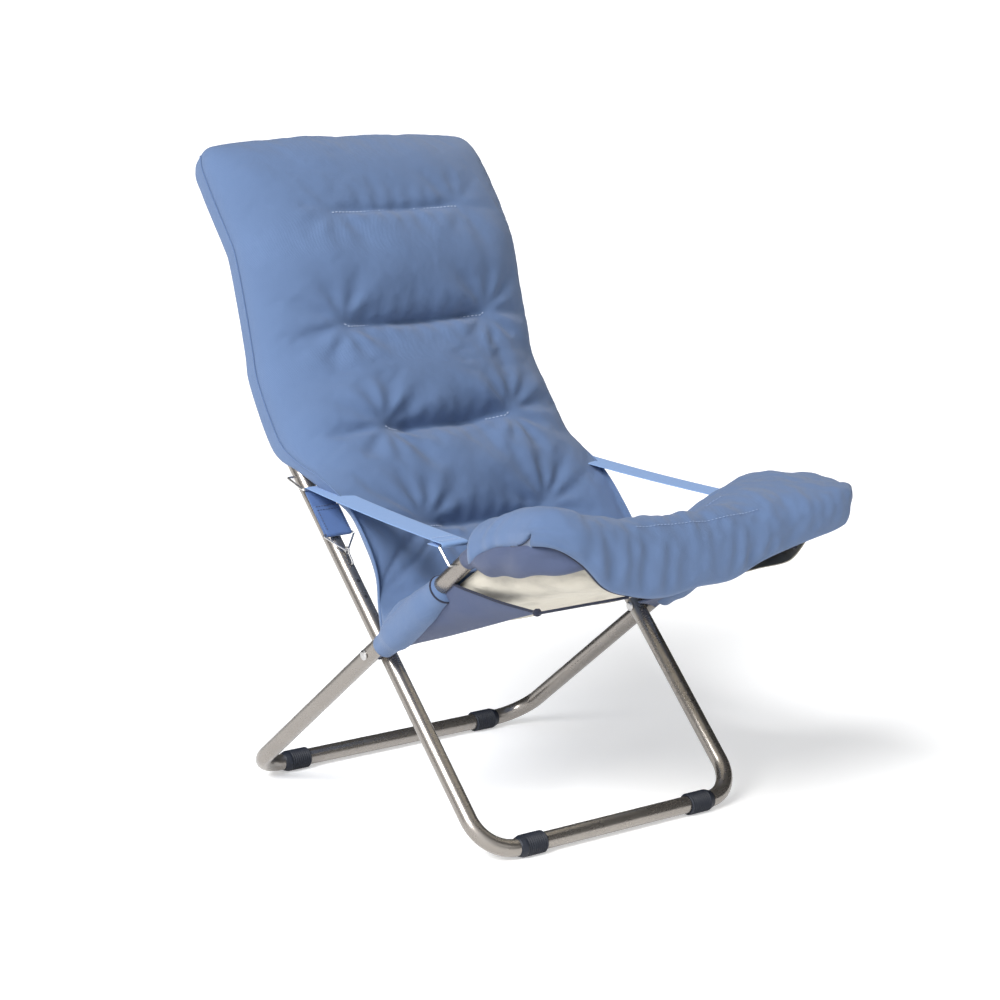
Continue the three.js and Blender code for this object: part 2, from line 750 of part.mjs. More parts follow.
place("hem_elastic", hemElastic(), blackElastic);
place("seam_tab", seamTab(), pinkTab);

export default chair;
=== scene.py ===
"""The folding beach armchair: its cloth, webbing, canvas, steel and rubber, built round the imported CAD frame.

Lengths are in millimetres until `piece` turns them into metres. Left and right are the sitter's: the right side
lies at -X. A side-view point is [y, z], and the sitter faces -Y.
"""

import json
import math

import bmesh
import bpy
import numpy as np
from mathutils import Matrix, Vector


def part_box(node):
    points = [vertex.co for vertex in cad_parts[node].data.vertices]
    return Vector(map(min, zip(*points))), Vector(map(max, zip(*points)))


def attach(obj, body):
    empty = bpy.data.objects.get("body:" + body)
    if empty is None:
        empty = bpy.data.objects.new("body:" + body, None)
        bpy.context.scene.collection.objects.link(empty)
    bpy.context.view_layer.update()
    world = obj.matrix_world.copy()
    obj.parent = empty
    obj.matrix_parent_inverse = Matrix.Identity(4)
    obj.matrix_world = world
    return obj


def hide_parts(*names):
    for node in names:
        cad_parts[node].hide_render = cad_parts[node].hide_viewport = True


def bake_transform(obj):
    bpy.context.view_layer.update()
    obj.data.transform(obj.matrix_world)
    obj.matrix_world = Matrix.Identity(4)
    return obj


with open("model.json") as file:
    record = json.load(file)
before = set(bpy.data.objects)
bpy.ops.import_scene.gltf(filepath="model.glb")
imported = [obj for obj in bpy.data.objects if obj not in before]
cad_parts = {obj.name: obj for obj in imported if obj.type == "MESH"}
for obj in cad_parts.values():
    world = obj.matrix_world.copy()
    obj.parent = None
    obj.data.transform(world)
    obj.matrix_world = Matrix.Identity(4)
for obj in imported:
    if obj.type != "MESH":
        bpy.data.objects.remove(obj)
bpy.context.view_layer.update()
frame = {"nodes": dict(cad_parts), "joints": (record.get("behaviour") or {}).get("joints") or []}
MM = 0.001
SIDES = {"right": -1, "left": 1}

# ---------------------------------------------------------------- driving dimensions
BACK_LEAN = math.radians(15.8)  # from upright
HEAD_LEAN = math.radians(36.4)
ARM_FRONT_RISE = math.radians(11.3)  # above level
POST_LENGTH = 438  # pivot to the waist bend
BACK_LENGTH = 223
HEAD_LENGTH = 155
ARM_LENGTH = 301  # pivot to the arm's bend
ARM_FRONT_LENGTH = 168
CORNER_RADIUS = 55
WAIST_RADIUS = 120
NECK_RADIUS = 110
ARM_BEND_RADIUS = 60

POST_JOIN = 53  # below the waist bend, where the back hoop plugs into the posts
ARM_JOIN = 50  # ahead of the arm's bend, where the seat hoop plugs into the arms
STRAP_WIDTH = 44
STRAP_THICKNESS = 1.6
RING_WIRE = 3.5
RING_HOLE_POST = 306
RING_HOLE_ARM = 275
POST_RING_LENGTH = 43
ARM_RING_LENGTH = 33
ARM_RING_TILT = math.radians(45)
TAIL_DROP = 78
TRIANGLE_WIRE = 3
HOOK_HOLES = (140, 112.5, 85)
HOOK_HOLE_RADIUS = 2.8
WINDOW = (198, 272)  # stretch of the arm left bare, ahead of the pivot


# ---------------------------------------------------------------- places, from the frame
def joint_place(name):
    joint = next(j for j in frame["joints"] if j["name"] == name)
    return np.array(joint["pos_m"]) / MM


def node_box(name):
    return [np.array(corner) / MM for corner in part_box(name)]


def polar(start, length, angle):
    return np.array(start) + length * np.array([math.cos(angle), math.sin(angle)])


def heading(a, b):
    return math.atan2(b[1] - a[1], b[0] - a[0])


pivot = joint_place("fold")[1:]
post_x = joint_place("hook_swing_left")[0]
tube_radius = node_box("back_hoop")[1][0] - post_x
arm_x = node_box("seat_hoop")[1][0] - tube_radius
front_floor = node_box("front_leg_tube")[0][1:] + tube_radius
rear_box = node_box("rear_leg_tube")
rear_floor = np.array([rear_box[1][1] - tube_radius, rear_box[0][2] + tube_radius])
post_angle = heading(front_floor, pivot)
arm_angle = heading(pivot, rear_floor) + math.pi  # from the pivot, up and ahead


def on_post(along, out=0.0):
    """A side-view point up the post from the pivot, and off it towards the sitter."""
    return polar(polar(pivot, along, post_angle), out, post_angle + math.pi / 2)


def on_arm(along, out=0.0):
    """A side-view point along the arm from the pivot, and off it upwards."""
    return polar(polar(pivot, along, arm_angle), out, arm_angle - math.pi / 2)


waist = on_post(POST_LENGTH)
neck = polar(waist, BACK_LENGTH, math.pi / 2 - BACK_LEAN)
top = polar(neck, HEAD_LENGTH, math.pi / 2 - HEAD_LEAN)
arm_bend = on_arm(ARM_LENGTH)
seat_front = polar(arm_bend, ARM_FRONT_LENGTH, math.pi - ARM_FRONT_RISE)


def on_back(along, out=0.0):
    return polar(polar(waist, along, math.pi / 2 - BACK_LEAN), out, math.pi - BACK_LEAN)


def on_head(along, out=0.0):
    return polar(polar(neck, along, math.pi / 2 - HEAD_LEAN), out, math.pi - HEAD_LEAN)


def arm_level(y):
    """Height of the arm's axis at a distance back, along its two straight runs."""
    return np.interp(-y, [-pivot[0], -arm_bend[0], -seat_front[0]], [pivot[1], arm_bend[1], seat_front[1]])


# ---------------------------------------------------------------- curves
def unit(v):
    return v / np.linalg.norm(v, axis=-1, keepdims=True)


def at(x, side_point):
    return np.array([x, side_point[0], side_point[1]], float)


def bent(corners, radii, step=math.radians(6)):
    """Straight runs joined by arcs: each inner corner gives way to an arc of its radius, tangent to both runs."""
    points = [corners[0]]
    for before, corner, after, radius in zip(corners, corners[1:], corners[2:], radii):
        into, out = unit(corner - before), unit(after - corner)
        turn = math.acos(np.clip(into @ out, -1, 1))
        inward = unit(out - into * (into @ out))
        start = corner - into * radius * math.tan(turn / 2)
        a = np.linspace(0, turn, max(3, round(turn / step)))[:, None]
        points.extend(start + radius * (into * np.sin(a) + inward * (1 - np.cos(a))))
    points.append(corners[-1])
    return np.array(points)


def lengths_along(points):
    return np.concatenate([[0], np.cumsum(np.linalg.norm(np.diff(points, axis=0), axis=1))])


def resample(points, count):
    """The same line with its points evenly spaced."""
    s = lengths_along(points)
    even = np.linspace(0, s[-1], count)
    return np.stack([np.interp(even, s, points[:, k]) for k in range(points.shape[1])], -1)


def hermite(a, b, slope_a, slope_b, u):
    """The cubic that runs from a to b as u goes from 0 to 1, with the given slopes at its two ends."""
    return (
        a * (2 * u**3 - 3 * u**2 + 1)
        + slope_a * (u**3 - 2 * u**2 + u)
        + b * (3 * u**2 - 2 * u**3)
        + slope_b * (u**3 - u**2)
    )


def smooth_step(low, high, value):
    """Rises from 0 to 1 between low and high, level at both ends."""
    t = np.clip((value - low) / (high - low), 0, 1)
    return t * t * (3 - 2 * t)


def bell(value, width):
    """One at zero, fading to both sides over the width."""
    return np.exp(-((value / width) ** 2))


# ---------------------------------------------------------------- surfaces
def swept(path, radius, sides=24):
    """Rows of a round bar: ring k lies round point k of the path, square to it, and keeps its turn from ring k-1."""
    tangent = unit(np.gradient(path, axis=0))
    normal = np.empty_like(tangent)
    across = np.cross(tangent[0], [0.31, 0.17, 0.93])
    for k, along in enumerate(tangent):
        across = unit(across - along * (across @ along))
        normal[k] = across
    other = np.cross(tangent, normal)
    a = np.linspace(0, 2 * math.pi, sides, endpoint=False)[None, :, None]
    ring = normal[:, None] * np.cos(a) + other[:, None] * np.sin(a)
    return path[:, None] + ring * np.reshape(radius, (-1, 1, 1))


def turned(profile, centre, segments=48):
    """Rows of a shape turned about an axis along X: each profile point [x, r] becomes a circle of radius r."""
    profile = np.array(profile, float)
    a = np.linspace(0, 2 * math.pi, segments, endpoint=False)[None, :]
    x = np.repeat(profile[:, :1], segments, axis=1)
    return np.stack([x, centre[0] + profile[:, 1:] * np.cos(a), centre[1] + profile[:, 1:] * np.sin(a)], -1)


def grid_of(rows, wrap, caps):
    """Points, faces and the UV of every face corner for one grid of points."""
    rows = np.asarray(rows, float)
    count, width = rows.shape[:2]
    columns = width if wrap else width - 1
    i = np.arange(count - 1)[:, None]
    j = np.arange(columns)[None, :]
    after = (j + 1) % width
    quads = np.stack([i * width + j, i * width + after, (i + 1) * width + after, (i + 1) * width + j], -1)
    closed = np.concatenate([rows, rows[:, :1]], axis=1) if wrap else rows
    u = lengths_along(closed[count // 2]) * MM
    v = lengths_along(closed[:, columns // 2]) * MM
    corner = [(i, j), (i, j + 1), (i + 1, j + 1), (i + 1, j)]
    uv = np.stack([np.stack([u[b] + 0 * v[a], v[a] + 0 * u[b]], -1) for a, b in corner], -2).reshape(-1, 2)
    points = rows.reshape(-1, 3)
    faces = quads.reshape(-1, 4).tolist()
    if caps:
        k = np.arange(width)
        beside = (k + 1) % width
        last = (count - 1) * width
        points = np.concatenate([points, rows[:1].mean(axis=1), rows[-1:].mean(axis=1)])
        faces += np.stack([np.full(width, count * width), beside, k], -1).tolist()
        faces += np.stack([np.full(width, count * width + 1), last + k, last + beside], -1).tolist()
        uv = np.concatenate([uv, np.zeros((6 * width, 2))])
    return points, faces, uv


def piece(name, grids, material, wrap=False, caps=False):
    """A mesh from one grid of points, or from a list of them: neighbours make four-sided faces, wrap joins the
    last column to the first, and caps closes the first and last row with a fan round their middle. The UV map
    holds the lengths across and along the grid in metres, so that a weave keeps its scale."""
    points, faces, uv = [], [], []
    for rows in grids if isinstance(grids, list) else [grids]:
        base = sum(len(p) for p in points)
        more_points, more_faces, more_uv = grid_of(rows, wrap, caps)
        points.append(more_points)
        faces += [[base + k for k in face] for face in more_faces]
        uv.append(more_uv)
    mesh = bpy.data.meshes.new(name)
    mesh.from_pydata((np.concatenate(points) * MM).tolist(), [], faces)
    mesh.uv_layers.new(name="cut").data.foreach_set("uv", np.concatenate(uv).ravel())
    mesh.materials.append(material)
    made = bmesh.new()
    made.from_mesh(mesh)
    bmesh.ops.remove_doubles(made, verts=made.verts, dist=1e-6)
    bmesh.ops.recalc_face_normals(made, faces=made.faces)
    made.to_mesh(mesh)
    made.free()
    mesh.polygons.foreach_set("use_smooth", np.full(len(mesh.polygons), True))
    thing = bpy.data.objects.new(name, mesh)
    bpy.context.scene.collection.objects.link(thing)
    return thing


# ---------------------------------------------------------------- materials
class Field:
    """One output of a node. Python's arithmetic on it adds Math nodes."""

    def __init__(self, paint, socket):
        self.paint, self.socket = paint, socket

    def math(self, operation, *values):
        return self.paint.node("ShaderNodeMath", {"operation": operation}, dict(enumerate(values)))

    def __add__(self, other):
        return self.math("ADD", self, other)

    def __sub__(self, other):
        return self.math("SUBTRACT", self, other)

    def __mul__(self, other):
        return self.math("MULTIPLY", self, other)

    __radd__ = __add__
    __rmul__ = __mul__

    def sine(self):
        return self.math("SINE", self)


class Paint:
    """A material being made: its node tree, its Principled shader, and the coordinates that patterns read."""

    def __init__(self, name, colour, roughness, **constants):
        self.material = bpy.data.materials.new(name)
        self.material.use_nodes = True
        self.tree = self.material.node_tree
        self.shader = self.tree.nodes["Principled BSDF"]
        self.set("Base Color", (*colour, 1))
        self.set("Roughness", roughness)
        for socket, value in constants.items():
            self.set(socket.replace("_", " "), value)

    def node(self, kind, settings, inputs, output=0):
        made = self.tree.nodes.new(kind)
        for setting, value in settings.items():
            setattr(made, setting, value)
        for key, value in inputs.items():
            self.feed(made.inputs[key], value)
        return Field(self, made.outputs[output])

    def feed(self, socket, value):
        if isinstance(value, Field):
            self.tree.links.new(value.socket, socket)
        else:
            socket.default_value = value

    def set(self, socket, value):
        self.feed(self.shader.inputs[socket], value)

    def place(self, kind="Object"):
        return self.node("ShaderNodeTexCoord", {}, {}, kind)

    def axes(self, kind="Object"):
        parts = self.node("ShaderNodeSeparateXYZ", {}, {0: self.place(kind)})
        return [Field(self, parts.socket.node.outputs[k]) for k in range(3)]

    def noise(self, scale, detail=2.0, stretch=(1, 1, 1)):
        spot = self.node("ShaderNodeMapping", {}, {"Vector": self.place(), "Scale": stretch})
        return self.node("ShaderNodeTexNoise", {}, {"Vector": spot, "Scale": scale, "Detail": detail})

    def mix(self, factor, a, b):
        a, b = [v if isinstance(v, Field) else (*v, 1) for v in (a, b)]
        return self.node("ShaderNodeMix", {"data_type": "RGBA"}, {0: factor, 6: a, 7: b}, 2)

    def step(self, value, low, high):
        return self.node("ShaderNodeMapRange", {"interpolation_type": "SMOOTHSTEP"}, {0: value, 1: low, 2: high})

    def bump(self, height, distance, strength=1.0):
        made = self.node("ShaderNodeBump", {}, {"Height": height, "Distance": distance, "Strength": strength})
        self.set("Normal", made)


def shade(colour, factor):
    return tuple(min(1, c * factor) for c in colour)


BLUE = (0.130, 0.205, 0.372)
PALE_BLUE = (0.25, 0.40, 0.70)
# Painted shade: the strap's tail is the same webbing, coloured darker as if in shade.
SHADED_TAIL_BLUE = (0.11, 0.19, 0.40)
# Painted shade: a darker grey-blue copy of the blue cloth, for the pocket round the hoop and for the gussets.
SHADED_BLUE = (0.085, 0.11, 0.2)
CREAM = (0.66, 0.62, 0.53)
STEEL = (0.30, 0.275, 0.25)


def cloth(name, colour, rib=0.0022, rib_depth=0.0003, soft=0.2):
    """Twill: slanting ribs along the cut of the cloth, broken by the crossing yarn, with faded and fuller patches."""
    paint = Paint(name, colour, 0.82, Sheen_Weight=soft, Sheen_Roughness=0.45, Specular_IOR_Level=0.25)
    u, v, _ = paint.axes("UV")
    twill = ((u + v * 0.9) * (2 * math.pi / rib)).sine()
    yarn = ((u - v) * (2 * math.pi / (rib * 0.45))).sine()
    weave = twill * 0.5 + yarn * 0.22 + 0.5
    patches = paint.noise(9, 4)
    fuzz = paint.noise(900, 2)
    worn = paint.step(patches, 0.35, 0.7)
    tint = paint.mix(worn, shade(colour, 0.9), shade(colour, 1.07))
    tint = paint.mix(weave * 0.45, shade(colour, 0.72), tint)
    tint = paint.mix(fuzz * 0.12, tint, shade(colour, 1.3))
    paint.set("Base Color", paint.mix(0.75, shade(colour, 0.96), tint))
    paint.set("Roughness", 0.74 + patches * 0.16)
    crumple = paint.noise(55, 3, stretch=(1, 1, 0.6))
    paint.bump(weave * rib_depth + crumple * 0.0016 + fuzz * 0.00005, 1.0, 0.8)
    return paint.material


def webbing(name, colour):
    """Narrow webbing: fine ribs along its length and a tight crossing weave."""
    paint = Paint(name, colour, 0.7, Sheen_Weight=0.25, Sheen_Roughness=0.4, Specular_IOR_Level=0.3)
    u, v, _ = paint.axes("UV")
    ribs = (u * (2 * math.pi / 0.0021)).sine()
    picks = (v * (2 * math.pi / 0.0013)).sine()
    weave = ribs * 0.35 + ribs * picks * 0.25 + 0.5
    patches = paint.noise(22, 3)
    tint = paint.mix(weave * 0.5, shade(colour, 0.84), shade(colour, 1.08))
    paint.set("Base Color", paint.mix(patches * 0.25, tint, shade(colour, 0.85)))
    paint.set("Roughness", 0.62 + patches * 0.15)
    paint.bump(weave * 0.00022 + paint.noise(70, 2) * 0.0009, 1.0, 0.8)
    return paint.material


def canvas(name, colour):
    """Plain weave canvas, creased, with grey handling marks."""
    paint = Paint(name, colour, 0.85, Sheen_Weight=0.2, Specular_IOR_Level=0.2)
    u, v, _ = paint.axes("UV")
    weave = (u * (2 * math.pi / 0.0014)).sine() * (v * (2 * math.pi / 0.0014)).sine()
    marks = paint.noise(24, 5)
    tint = paint.mix(paint.step(marks, 0.45, 0.75), colour, shade(colour, 0.78))
    paint.set("Base Color", paint.mix(weave * 0.12 + 0.12, tint, shade(colour, 0.7)))
    paint.set("Roughness", 0.8 + marks * 0.12)
    paint.bump(weave * 0.00012 + paint.noise(38, 4, stretch=(1, 1, 2.2)) * 0.004, 1.0, 0.9)
    return paint.material


def satin_steel():
    """Bronze-grey coated steel: a fine drawn grain, cloudy gloss, and small scuffs that show brighter metal."""
    paint = Paint("satin_steel", STEEL, 0.3, Metallic=0.85, Specular_IOR_Level=0.5, Coat_Roughness=0.2)
    cloud = paint.noise(26, 4)
    grain = paint.noise(420, 3, stretch=(0.12, 1, 1))
    scuffs = paint.step(paint.noise(120, 4), 0.72, 0.8)
    tint = paint.mix(cloud, shade(STEEL, 0.9), shade(STEEL, 1.1))
    paint.set("Base Color", paint.mix(scuffs * 0.25, tint, (0.5, 0.48, 0.45)))
    paint.set("Roughness", 0.2 + cloud * 0.1 + grain * 0.05)
    paint.set("Coat Weight", 0.15 + cloud * 0.1)
    paint.bump(grain * 0.000006 + scuffs * 0.00001, 1.0, 0.5)
    return paint.material


def bright_wire():
    """Zinc-plated wire: bright, with dull spots."""
    paint = Paint("wire_steel", (0.62, 0.61, 0.6), 0.28, Metallic=1.0)
    spots = paint.noise(300, 4)
    paint.set("Base Color", paint.mix(spots, (0.42, 0.41, 0.4), (0.74, 0.73, 0.72)))
    paint.set("Roughness", 0.2 + spots * 0.3)
    paint.bump(spots * 0.00003, 1.0, 0.5)
    return paint.material


def rubber(name, colour, roughness=0.55):
    """Moulded rubber or nylon: a fine matt skin with dusty high spots."""
    paint = Paint(name, colour, roughness, Specular_IOR_Level=0.45)
    skin = paint.noise(700, 3)
    dust = paint.step(paint.noise(60, 5), 0.5, 0.8)
    paint.set("Base Color", paint.mix(dust * 0.3, colour, (0.035, 0.04, 0.05)))
    paint.set("Roughness", roughness - 0.08 + skin * 0.2)
    paint.bump(skin * 0.00008, 1.0, 0.6)
    return paint.material


def plain_thread(name, colour):
    """Sewing thread: a twisted sheen along the stitch."""
    paint = Paint(name, colour, 0.6, Sheen_Weight=0.3)
    twist = paint.noise(2500, 1)
    paint.set("Base Color", paint.mix(twist, shade(colour, 0.75), shade(colour, 1.15)))
    paint.bump(twist * 0.0001, 1.0, 0.5)
    return paint.material


blue_cloth = cloth("blue_cloth", BLUE)
# painted shade: the blue cloth darkened as if it lay in shade
shaded_blue_cloth = cloth("shaded_blue_cloth", SHADED_BLUE, soft=0.15)
strap_webbing = webbing("strap_webbing", PALE_BLUE)
shaded_tail_webbing = webbing("shaded_tail_webbing", SHADED_TAIL_BLUE)
binding = cloth("dark_binding", (0.03, 0.035, 0.06), soft=0.1)
cream_canvas = canvas("cream_canvas", CREAM)
steel = satin_steel()
wire = bright_wire()
foot_rubber = rubber("foot_rubber", (0.006, 0.009, 0.018))
nylon = rubber("nylon", (0.03, 0.03, 0.034), 0.4)
pale_thread = plain_thread("pale_thread", (0.5, 0.6, 0.78))
lap_thread = plain_thread("lap_thread", (0.3, 0.4, 0.62))
dark_thread = plain_thread("dark_thread", (0.02, 0.03, 0.07))
tab_cloth = cloth("tab_cloth", (0.42, 0.03, 0.2), soft=0.2)


# ---------------------------------------------------------------- steel frame
def mirrored(side, half_width):
    """Corners that run along the right side, across, and back along the left side."""
    return [at(-half_width, p) for p in side] + [at(half_width, p) for p in reversed(side)]


def tube_piece(name, side, radii, half_width, body, node):
    """A bent tube over the CAD node of the same run, its open ends closed inside the cushion."""
    path = bent(mirrored(side, half_width), list(radii) + list(reversed(radii)))
    path = resample(path, int(lengths_along(path)[-1] / 5))
    made = piece(name, swept(path, tube_radius, 28), steel, wrap=True, caps=True)
    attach(made, body)
    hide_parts(node)


post_top = on_post(POST_LENGTH - POST_JOIN)
arm_joint = polar(arm_bend, ARM_JOIN, math.pi - ARM_FRONT_RISE)
tube_piece("front_leg", [post_top, front_floor], [CORNER_RADIUS], post_x, "back_frame", "front_leg_tube")
back_radii = [WAIST_RADIUS, NECK_RADIUS, CORNER_RADIUS]
rear_radii = [ARM_BEND_RADIUS, CORNER_RADIUS]
tube_piece("back_bow", [post_top, waist, neck, top], back_radii, post_x, "back_frame", "back_hoop")
tube_piece("rear_leg", [arm_joint, arm_bend, rear_floor], rear_radii, arm_x, "seat_frame", "rear_leg_tube")
tube_piece("seat_bow", [arm_joint, seat_front], [CORNER_RADIUS], arm_x, "seat_frame", "seat_hoop")


def foot(name, x, centre, body, flip):
    """A ribbed sleeve: nine fine rings round a bore, smooth at the inner end, and cut flat where it stands."""
    low, high = node_box(name)
    half = (high[0] - low[0]) / 2
    rim = (high[1] - low[1]) / 2
    x_line = np.linspace(-half, half, 110)
    rings = 0.5 - 0.5 * np.cos(2 * math.pi * np.clip((x_line + half * 0.9) / (half * 1.45), 0, 1) * 9)
    taper = 1 - 0.16 * smooth_step(half * 0.55, half, x_line)
    outer = (rim - 2.0 * rings) * taper
    rounded = 1 - 0.09 * bell(x_line + half, 1.2) - 0.12 * bell(x_line - half, 1.2)
    outer = outer * rounded
    bore = tube_radius + 0.35
    profile = np.concatenate([[[-half, bore]], np.stack([x_line, outer], -1), [[half, bore]]])
    rows = turned(profile * [flip, 1] + [x, 0], centre, 56)
    rows[..., 2] = np.maximum(rows[..., 2], 0.0)
    made = piece(name + "_sleeve", np.concatenate([rows, rows[:1]]), foot_rubber, wrap=True)
    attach(made, body)
    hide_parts(name)


for side_name, side in SIDES.items():
    for end, centre, body in (("front", front_floor, "back_frame"), ("rear", rear_floor, "seat_frame")):
        node = f"{end}_foot_{side_name}"
        foot(node, sum(c[0] for c in node_box(node)) / 2, centre, body, side)


# The CAD nodes that stay take better materials.
for stem, material in (
    ("pivot_rivet_", wire),
    ("pivot_washer_", nylon),
    ("post_strap_ring_", wire),
    ("arm_strap_ring_", wire),
    ("strap_triangle_", wire),
    ("strap_hook_", wire),
):
    for side_name in SIDES:
        node = frame["nodes"][stem + side_name]
        node.data.materials.clear()
        node.data.materials.append(material)


def painted_hole_shade(name, along, x):
    """A painted-shade disc in place of a hook hole's open bore: a dark shallow dish that follows the tube's round
    top.
    """
    r = np.linspace(0.05, 1, 7)[:, None] * HOOK_HOLE_RADIUS
    a = np.linspace(0, 2 * math.pi, 24, endpoint=False)[None, :]
    across, up = r * np.cos(a), r * np.sin(a)
    out = np.sqrt(tube_radius**2 - across**2) + 0.15
    place = on_post(along)
    d, n = unit(on_post(along + 1) - place), unit(on_post(along, 1) - place)
    rows = np.stack([x + across, place[0] + up * d[0] + out * n[0], place[1] + up * d[1] + out * n[1]], -1)
    made = piece(name, rows, nylon, wrap=True)
    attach(made, "back_frame")


# Dark discs paint the shade inside the hook holes.
for side_name, side in SIDES.items():
    for k, along in enumerate(HOOK_HOLES):
        painted_hole_shade(f"painted_hole_shade_{side_name}_{k + 1}", along, side * post_x)

# ---------------------------------------------------------------- cushion
SEAT_EDGE = arm_x + tube_radius + 4
BACK_EDGE = post_x + tube_radius + 7

# Stations from the top of the head to the front of the seat: the line of the side edge, the middle of the front
# face, the middle of the rear face, the half-width at the edge, and how square the front and rear faces are.
stations = [
    (on_head(183, 20), on_head(183, 24), on_head(183, 18), 205, 3.0, 4.0),
    (on_head(182, 16), on_head(182, 34), on_head(181, 4), 228, 3.0, 5.0),
    (on_head(177, 14), on_head(175, 52), on_head(174, -15), 243, 2.8, 9.0),
    (on_head(160, 12), on_head(158, 72), on_head(158, -21), 251, 2.6, 12.0),
    (on_head(120, 12), on_head(112, 92), on_head(120, -21), 254, 2.5, 12.0),
    (on_head(70, 12), on_head(62, 98), on_head(70, -20), 254, 2.5, 12.0),
    (on_head(25, 12), on_head(18, 98), on_head(28, -20), 253, 2.5, 12.0),
    (on_back(200, 12), on_back(188, 101), on_back(205, -20), 253, 2.5, 12.0),
    (on_back(140, 12), on_back(140, 98), on_back(140, -20), 252, 2.5, 12.0),
    (on_back(80, 12), on_back(88, 98), on_back(80, -20), 252, 2.5, 12.0),
    (on_back(24, 14), on_back(14, 108), on_back(24, -21), 252, 2.5, 12.0),
    (on_post(395, 14), on_post(360, 102), on_post(395, -21), 253, 2.5, 12.0),
    (on_post(345, 14), on_post(315, 88), on_post(345, -18), 253, 2.5, 10.0),
    (on_post(312, 24), on_post(280, 84), on_post(308, 2), 247, 2.6, 8.0),
    (on_post(270, 48), on_post(240, 80), on_post(268, 14), 243, 2.8, 5.0),
    (on_post(205, 73), on_post(195, 70), on_post(205, 20), 240, 3.0, 2.4),
    (on_post(140, 77), on_post(150, 60), on_post(140, 20), 240, 3.0, 2.4),
    (on_post(88, 70), on_post(105, 56), on_post(85, 20), 243, 3.0, 2.6),
    (on_post(46, 52), on_post(60, 62), on_post(40, 22), 250, 3.2, 4.0),
    (polar(on_arm(40), 14, math.pi / 2), on_post(28, 80), (-40, 290), 264, 3.4, 5.0),
    (on_arm(62, 4), (-90, 351), (-85, 301), SEAT_EDGE - 2, 4.0, 4.0),
    (on_arm(120), (-140, 366), (-135, 319), SEAT_EDGE, 4.0, 3.0),
    (on_arm(172), (-180, 384), (-180, 338), SEAT_EDGE - 2, 4.0, 3.0),
    (on_arm(WINDOW[0] + 14, -3), (-222, 402), (-222, 357), SEAT_EDGE - 17, 4.0, 3.2),
    (on_arm(WINDOW[0] + 52, -6), (-262, 420), (-262, 374), arm_x - 22, 4.0, 6.0),
    (polar(on_arm(WINDOW[1]), 24, -math.pi / 2), (-300, 434), (-300, 394), arm_x - 26, 4.0, 2.4),
    ((-350, 436), (-350, 452), (-350, 412), arm_x - 26, 4.0, 2.2),
    ((-392, 452), (-388, 466), (-392, 430), arm_x - 28, 4.0, 2.4),
    ((-408, 458), (-406, 462), (-408, 452), arm_x - 34, 4.0, 6.0),
]

# Sewn channels: side-view place of the seam in the middle, half-length, depth of the groove and its width.
channels = [
    (on_head(15, 86), 120, 11, 7),
    (on_back(95, 80), 134, 26, 10),
    (on_post(324, 71), 118, 28, 11),
    (on_post(158, 52), 112, 19, 12),
]

ALONG = 250
HALF_ROUND = 74


def rails(count):
    """Smooth lines through the stations, all walked together by the distance down the middle of the front face."""
    edge, front, rear = [np.array([s[k] for s in stations], float) for k in range(3)]
    rest = np.array([s[3:] for s in stations], float)
    together = np.concatenate([front, edge, rear, rest], axis=1)
    knot = lengths_along(front)
    slope = np.gradient(together, knot, axis=0)
    t = np.linspace(0, knot[-1], count)
    k = np.clip(np.searchsorted(knot, t, side="right") - 1, 0, len(knot) - 2)
    h = (knot[k + 1] - knot[k])[:, None]
    u = (t - knot[k])[:, None] / h
    a, b = together[k], together[k + 1]
    line = hermite(a, b, slope[k] * h, slope[k + 1] * h, u)
    return line[:, 0:2], line[:, 2:4], line[:, 4:6], line[:, 6], line[:, 7], line[:, 8]


def half_section(squareness, count):
    """Half of an oval, from one edge to the other: x and depth raised to the squareness add up to one. The points
    are evenly spaced round a cushion that is about 2.6 times as wide as it is deep."""
    a = np.linspace(0, math.pi, 1600)
    x = -np.sign(np.cos(a)) * np.abs(np.cos(a)) ** (2 / squareness)
    d = np.abs(np.sin(a)) ** (2 / squareness)
    even = resample(np.stack([x * 2.6, d], -1), count)
    return even[:, 0] / 2.6, even[:, 1]


SEAM_BOW = -5.0  # how far a sewn channel's ends lie above its middle


def cushion_rows():
    """The cushion's skin: each row is a closed oval across the chair. Its front half runs from the edge line
    through the middle of the front face, its rear half through the middle of the rear face. Also gives how far
    each point is towards the front face, from 0 to 1, and each row's distance down that face."""
    front, edge, rear, width, front_n, rear_n = rails(ALONG)
    rows = np.empty((ALONG, 2 * HALF_ROUND - 2, 3))
    share = np.empty((ALONG, 2 * HALF_ROUND - 2))
    for k in range(ALONG):
        x, d = half_section(front_n[k], HALF_ROUND)
        xr, dr = half_section(rear_n[k], HALF_ROUND)
        x = np.concatenate([x, xr[-2:0:-1]])
        d_front = np.concatenate([d, np.zeros(HALF_ROUND - 2)])
        d_rear = np.concatenate([np.zeros(HALF_ROUND), dr[-2:0:-1]])
        side = edge[k] + d_front[:, None] * (front[k] - edge[k]) + d_rear[:, None] * (rear[k] - edge[k])
        rows[k, :, 0] = x * width[k]
        rows[k, :, 1:] = side
        share[k] = d_front
    return rows, share, lengths_along(front)


def thickened(rows, wall):
    """A sheet with two faces, half its wall to each side of the middle surface, that meet in the rim."""
    normal = unit(np.cross(np.gradient(rows, axis=0), np.gradient(rows, axis=1)))
    faces = np.concatenate([rows + normal * wall / 2, (rows - normal * wall / 2)[:, ::-1]], axis=1)
    rim = np.concatenate([rows, rows[:, ::-1]], axis=1)
    return np.concatenate([rim[:1], faces, rim[-1:]])


def row_normals(rows):
    """Unit normals of a grid whose rows are closed loops."""
    along = np.gradient(rows, axis=0)
    wrapped = np.concatenate([rows[:, -1:], rows, rows[:, :1]], axis=1)
    around = (wrapped[:, 2:] - wrapped[:, :-2]) / 2
    normal = np.cross(around, along)
    return normal / np.maximum(np.linalg.norm(normal, axis=-1, keepdims=True), 1e-9)


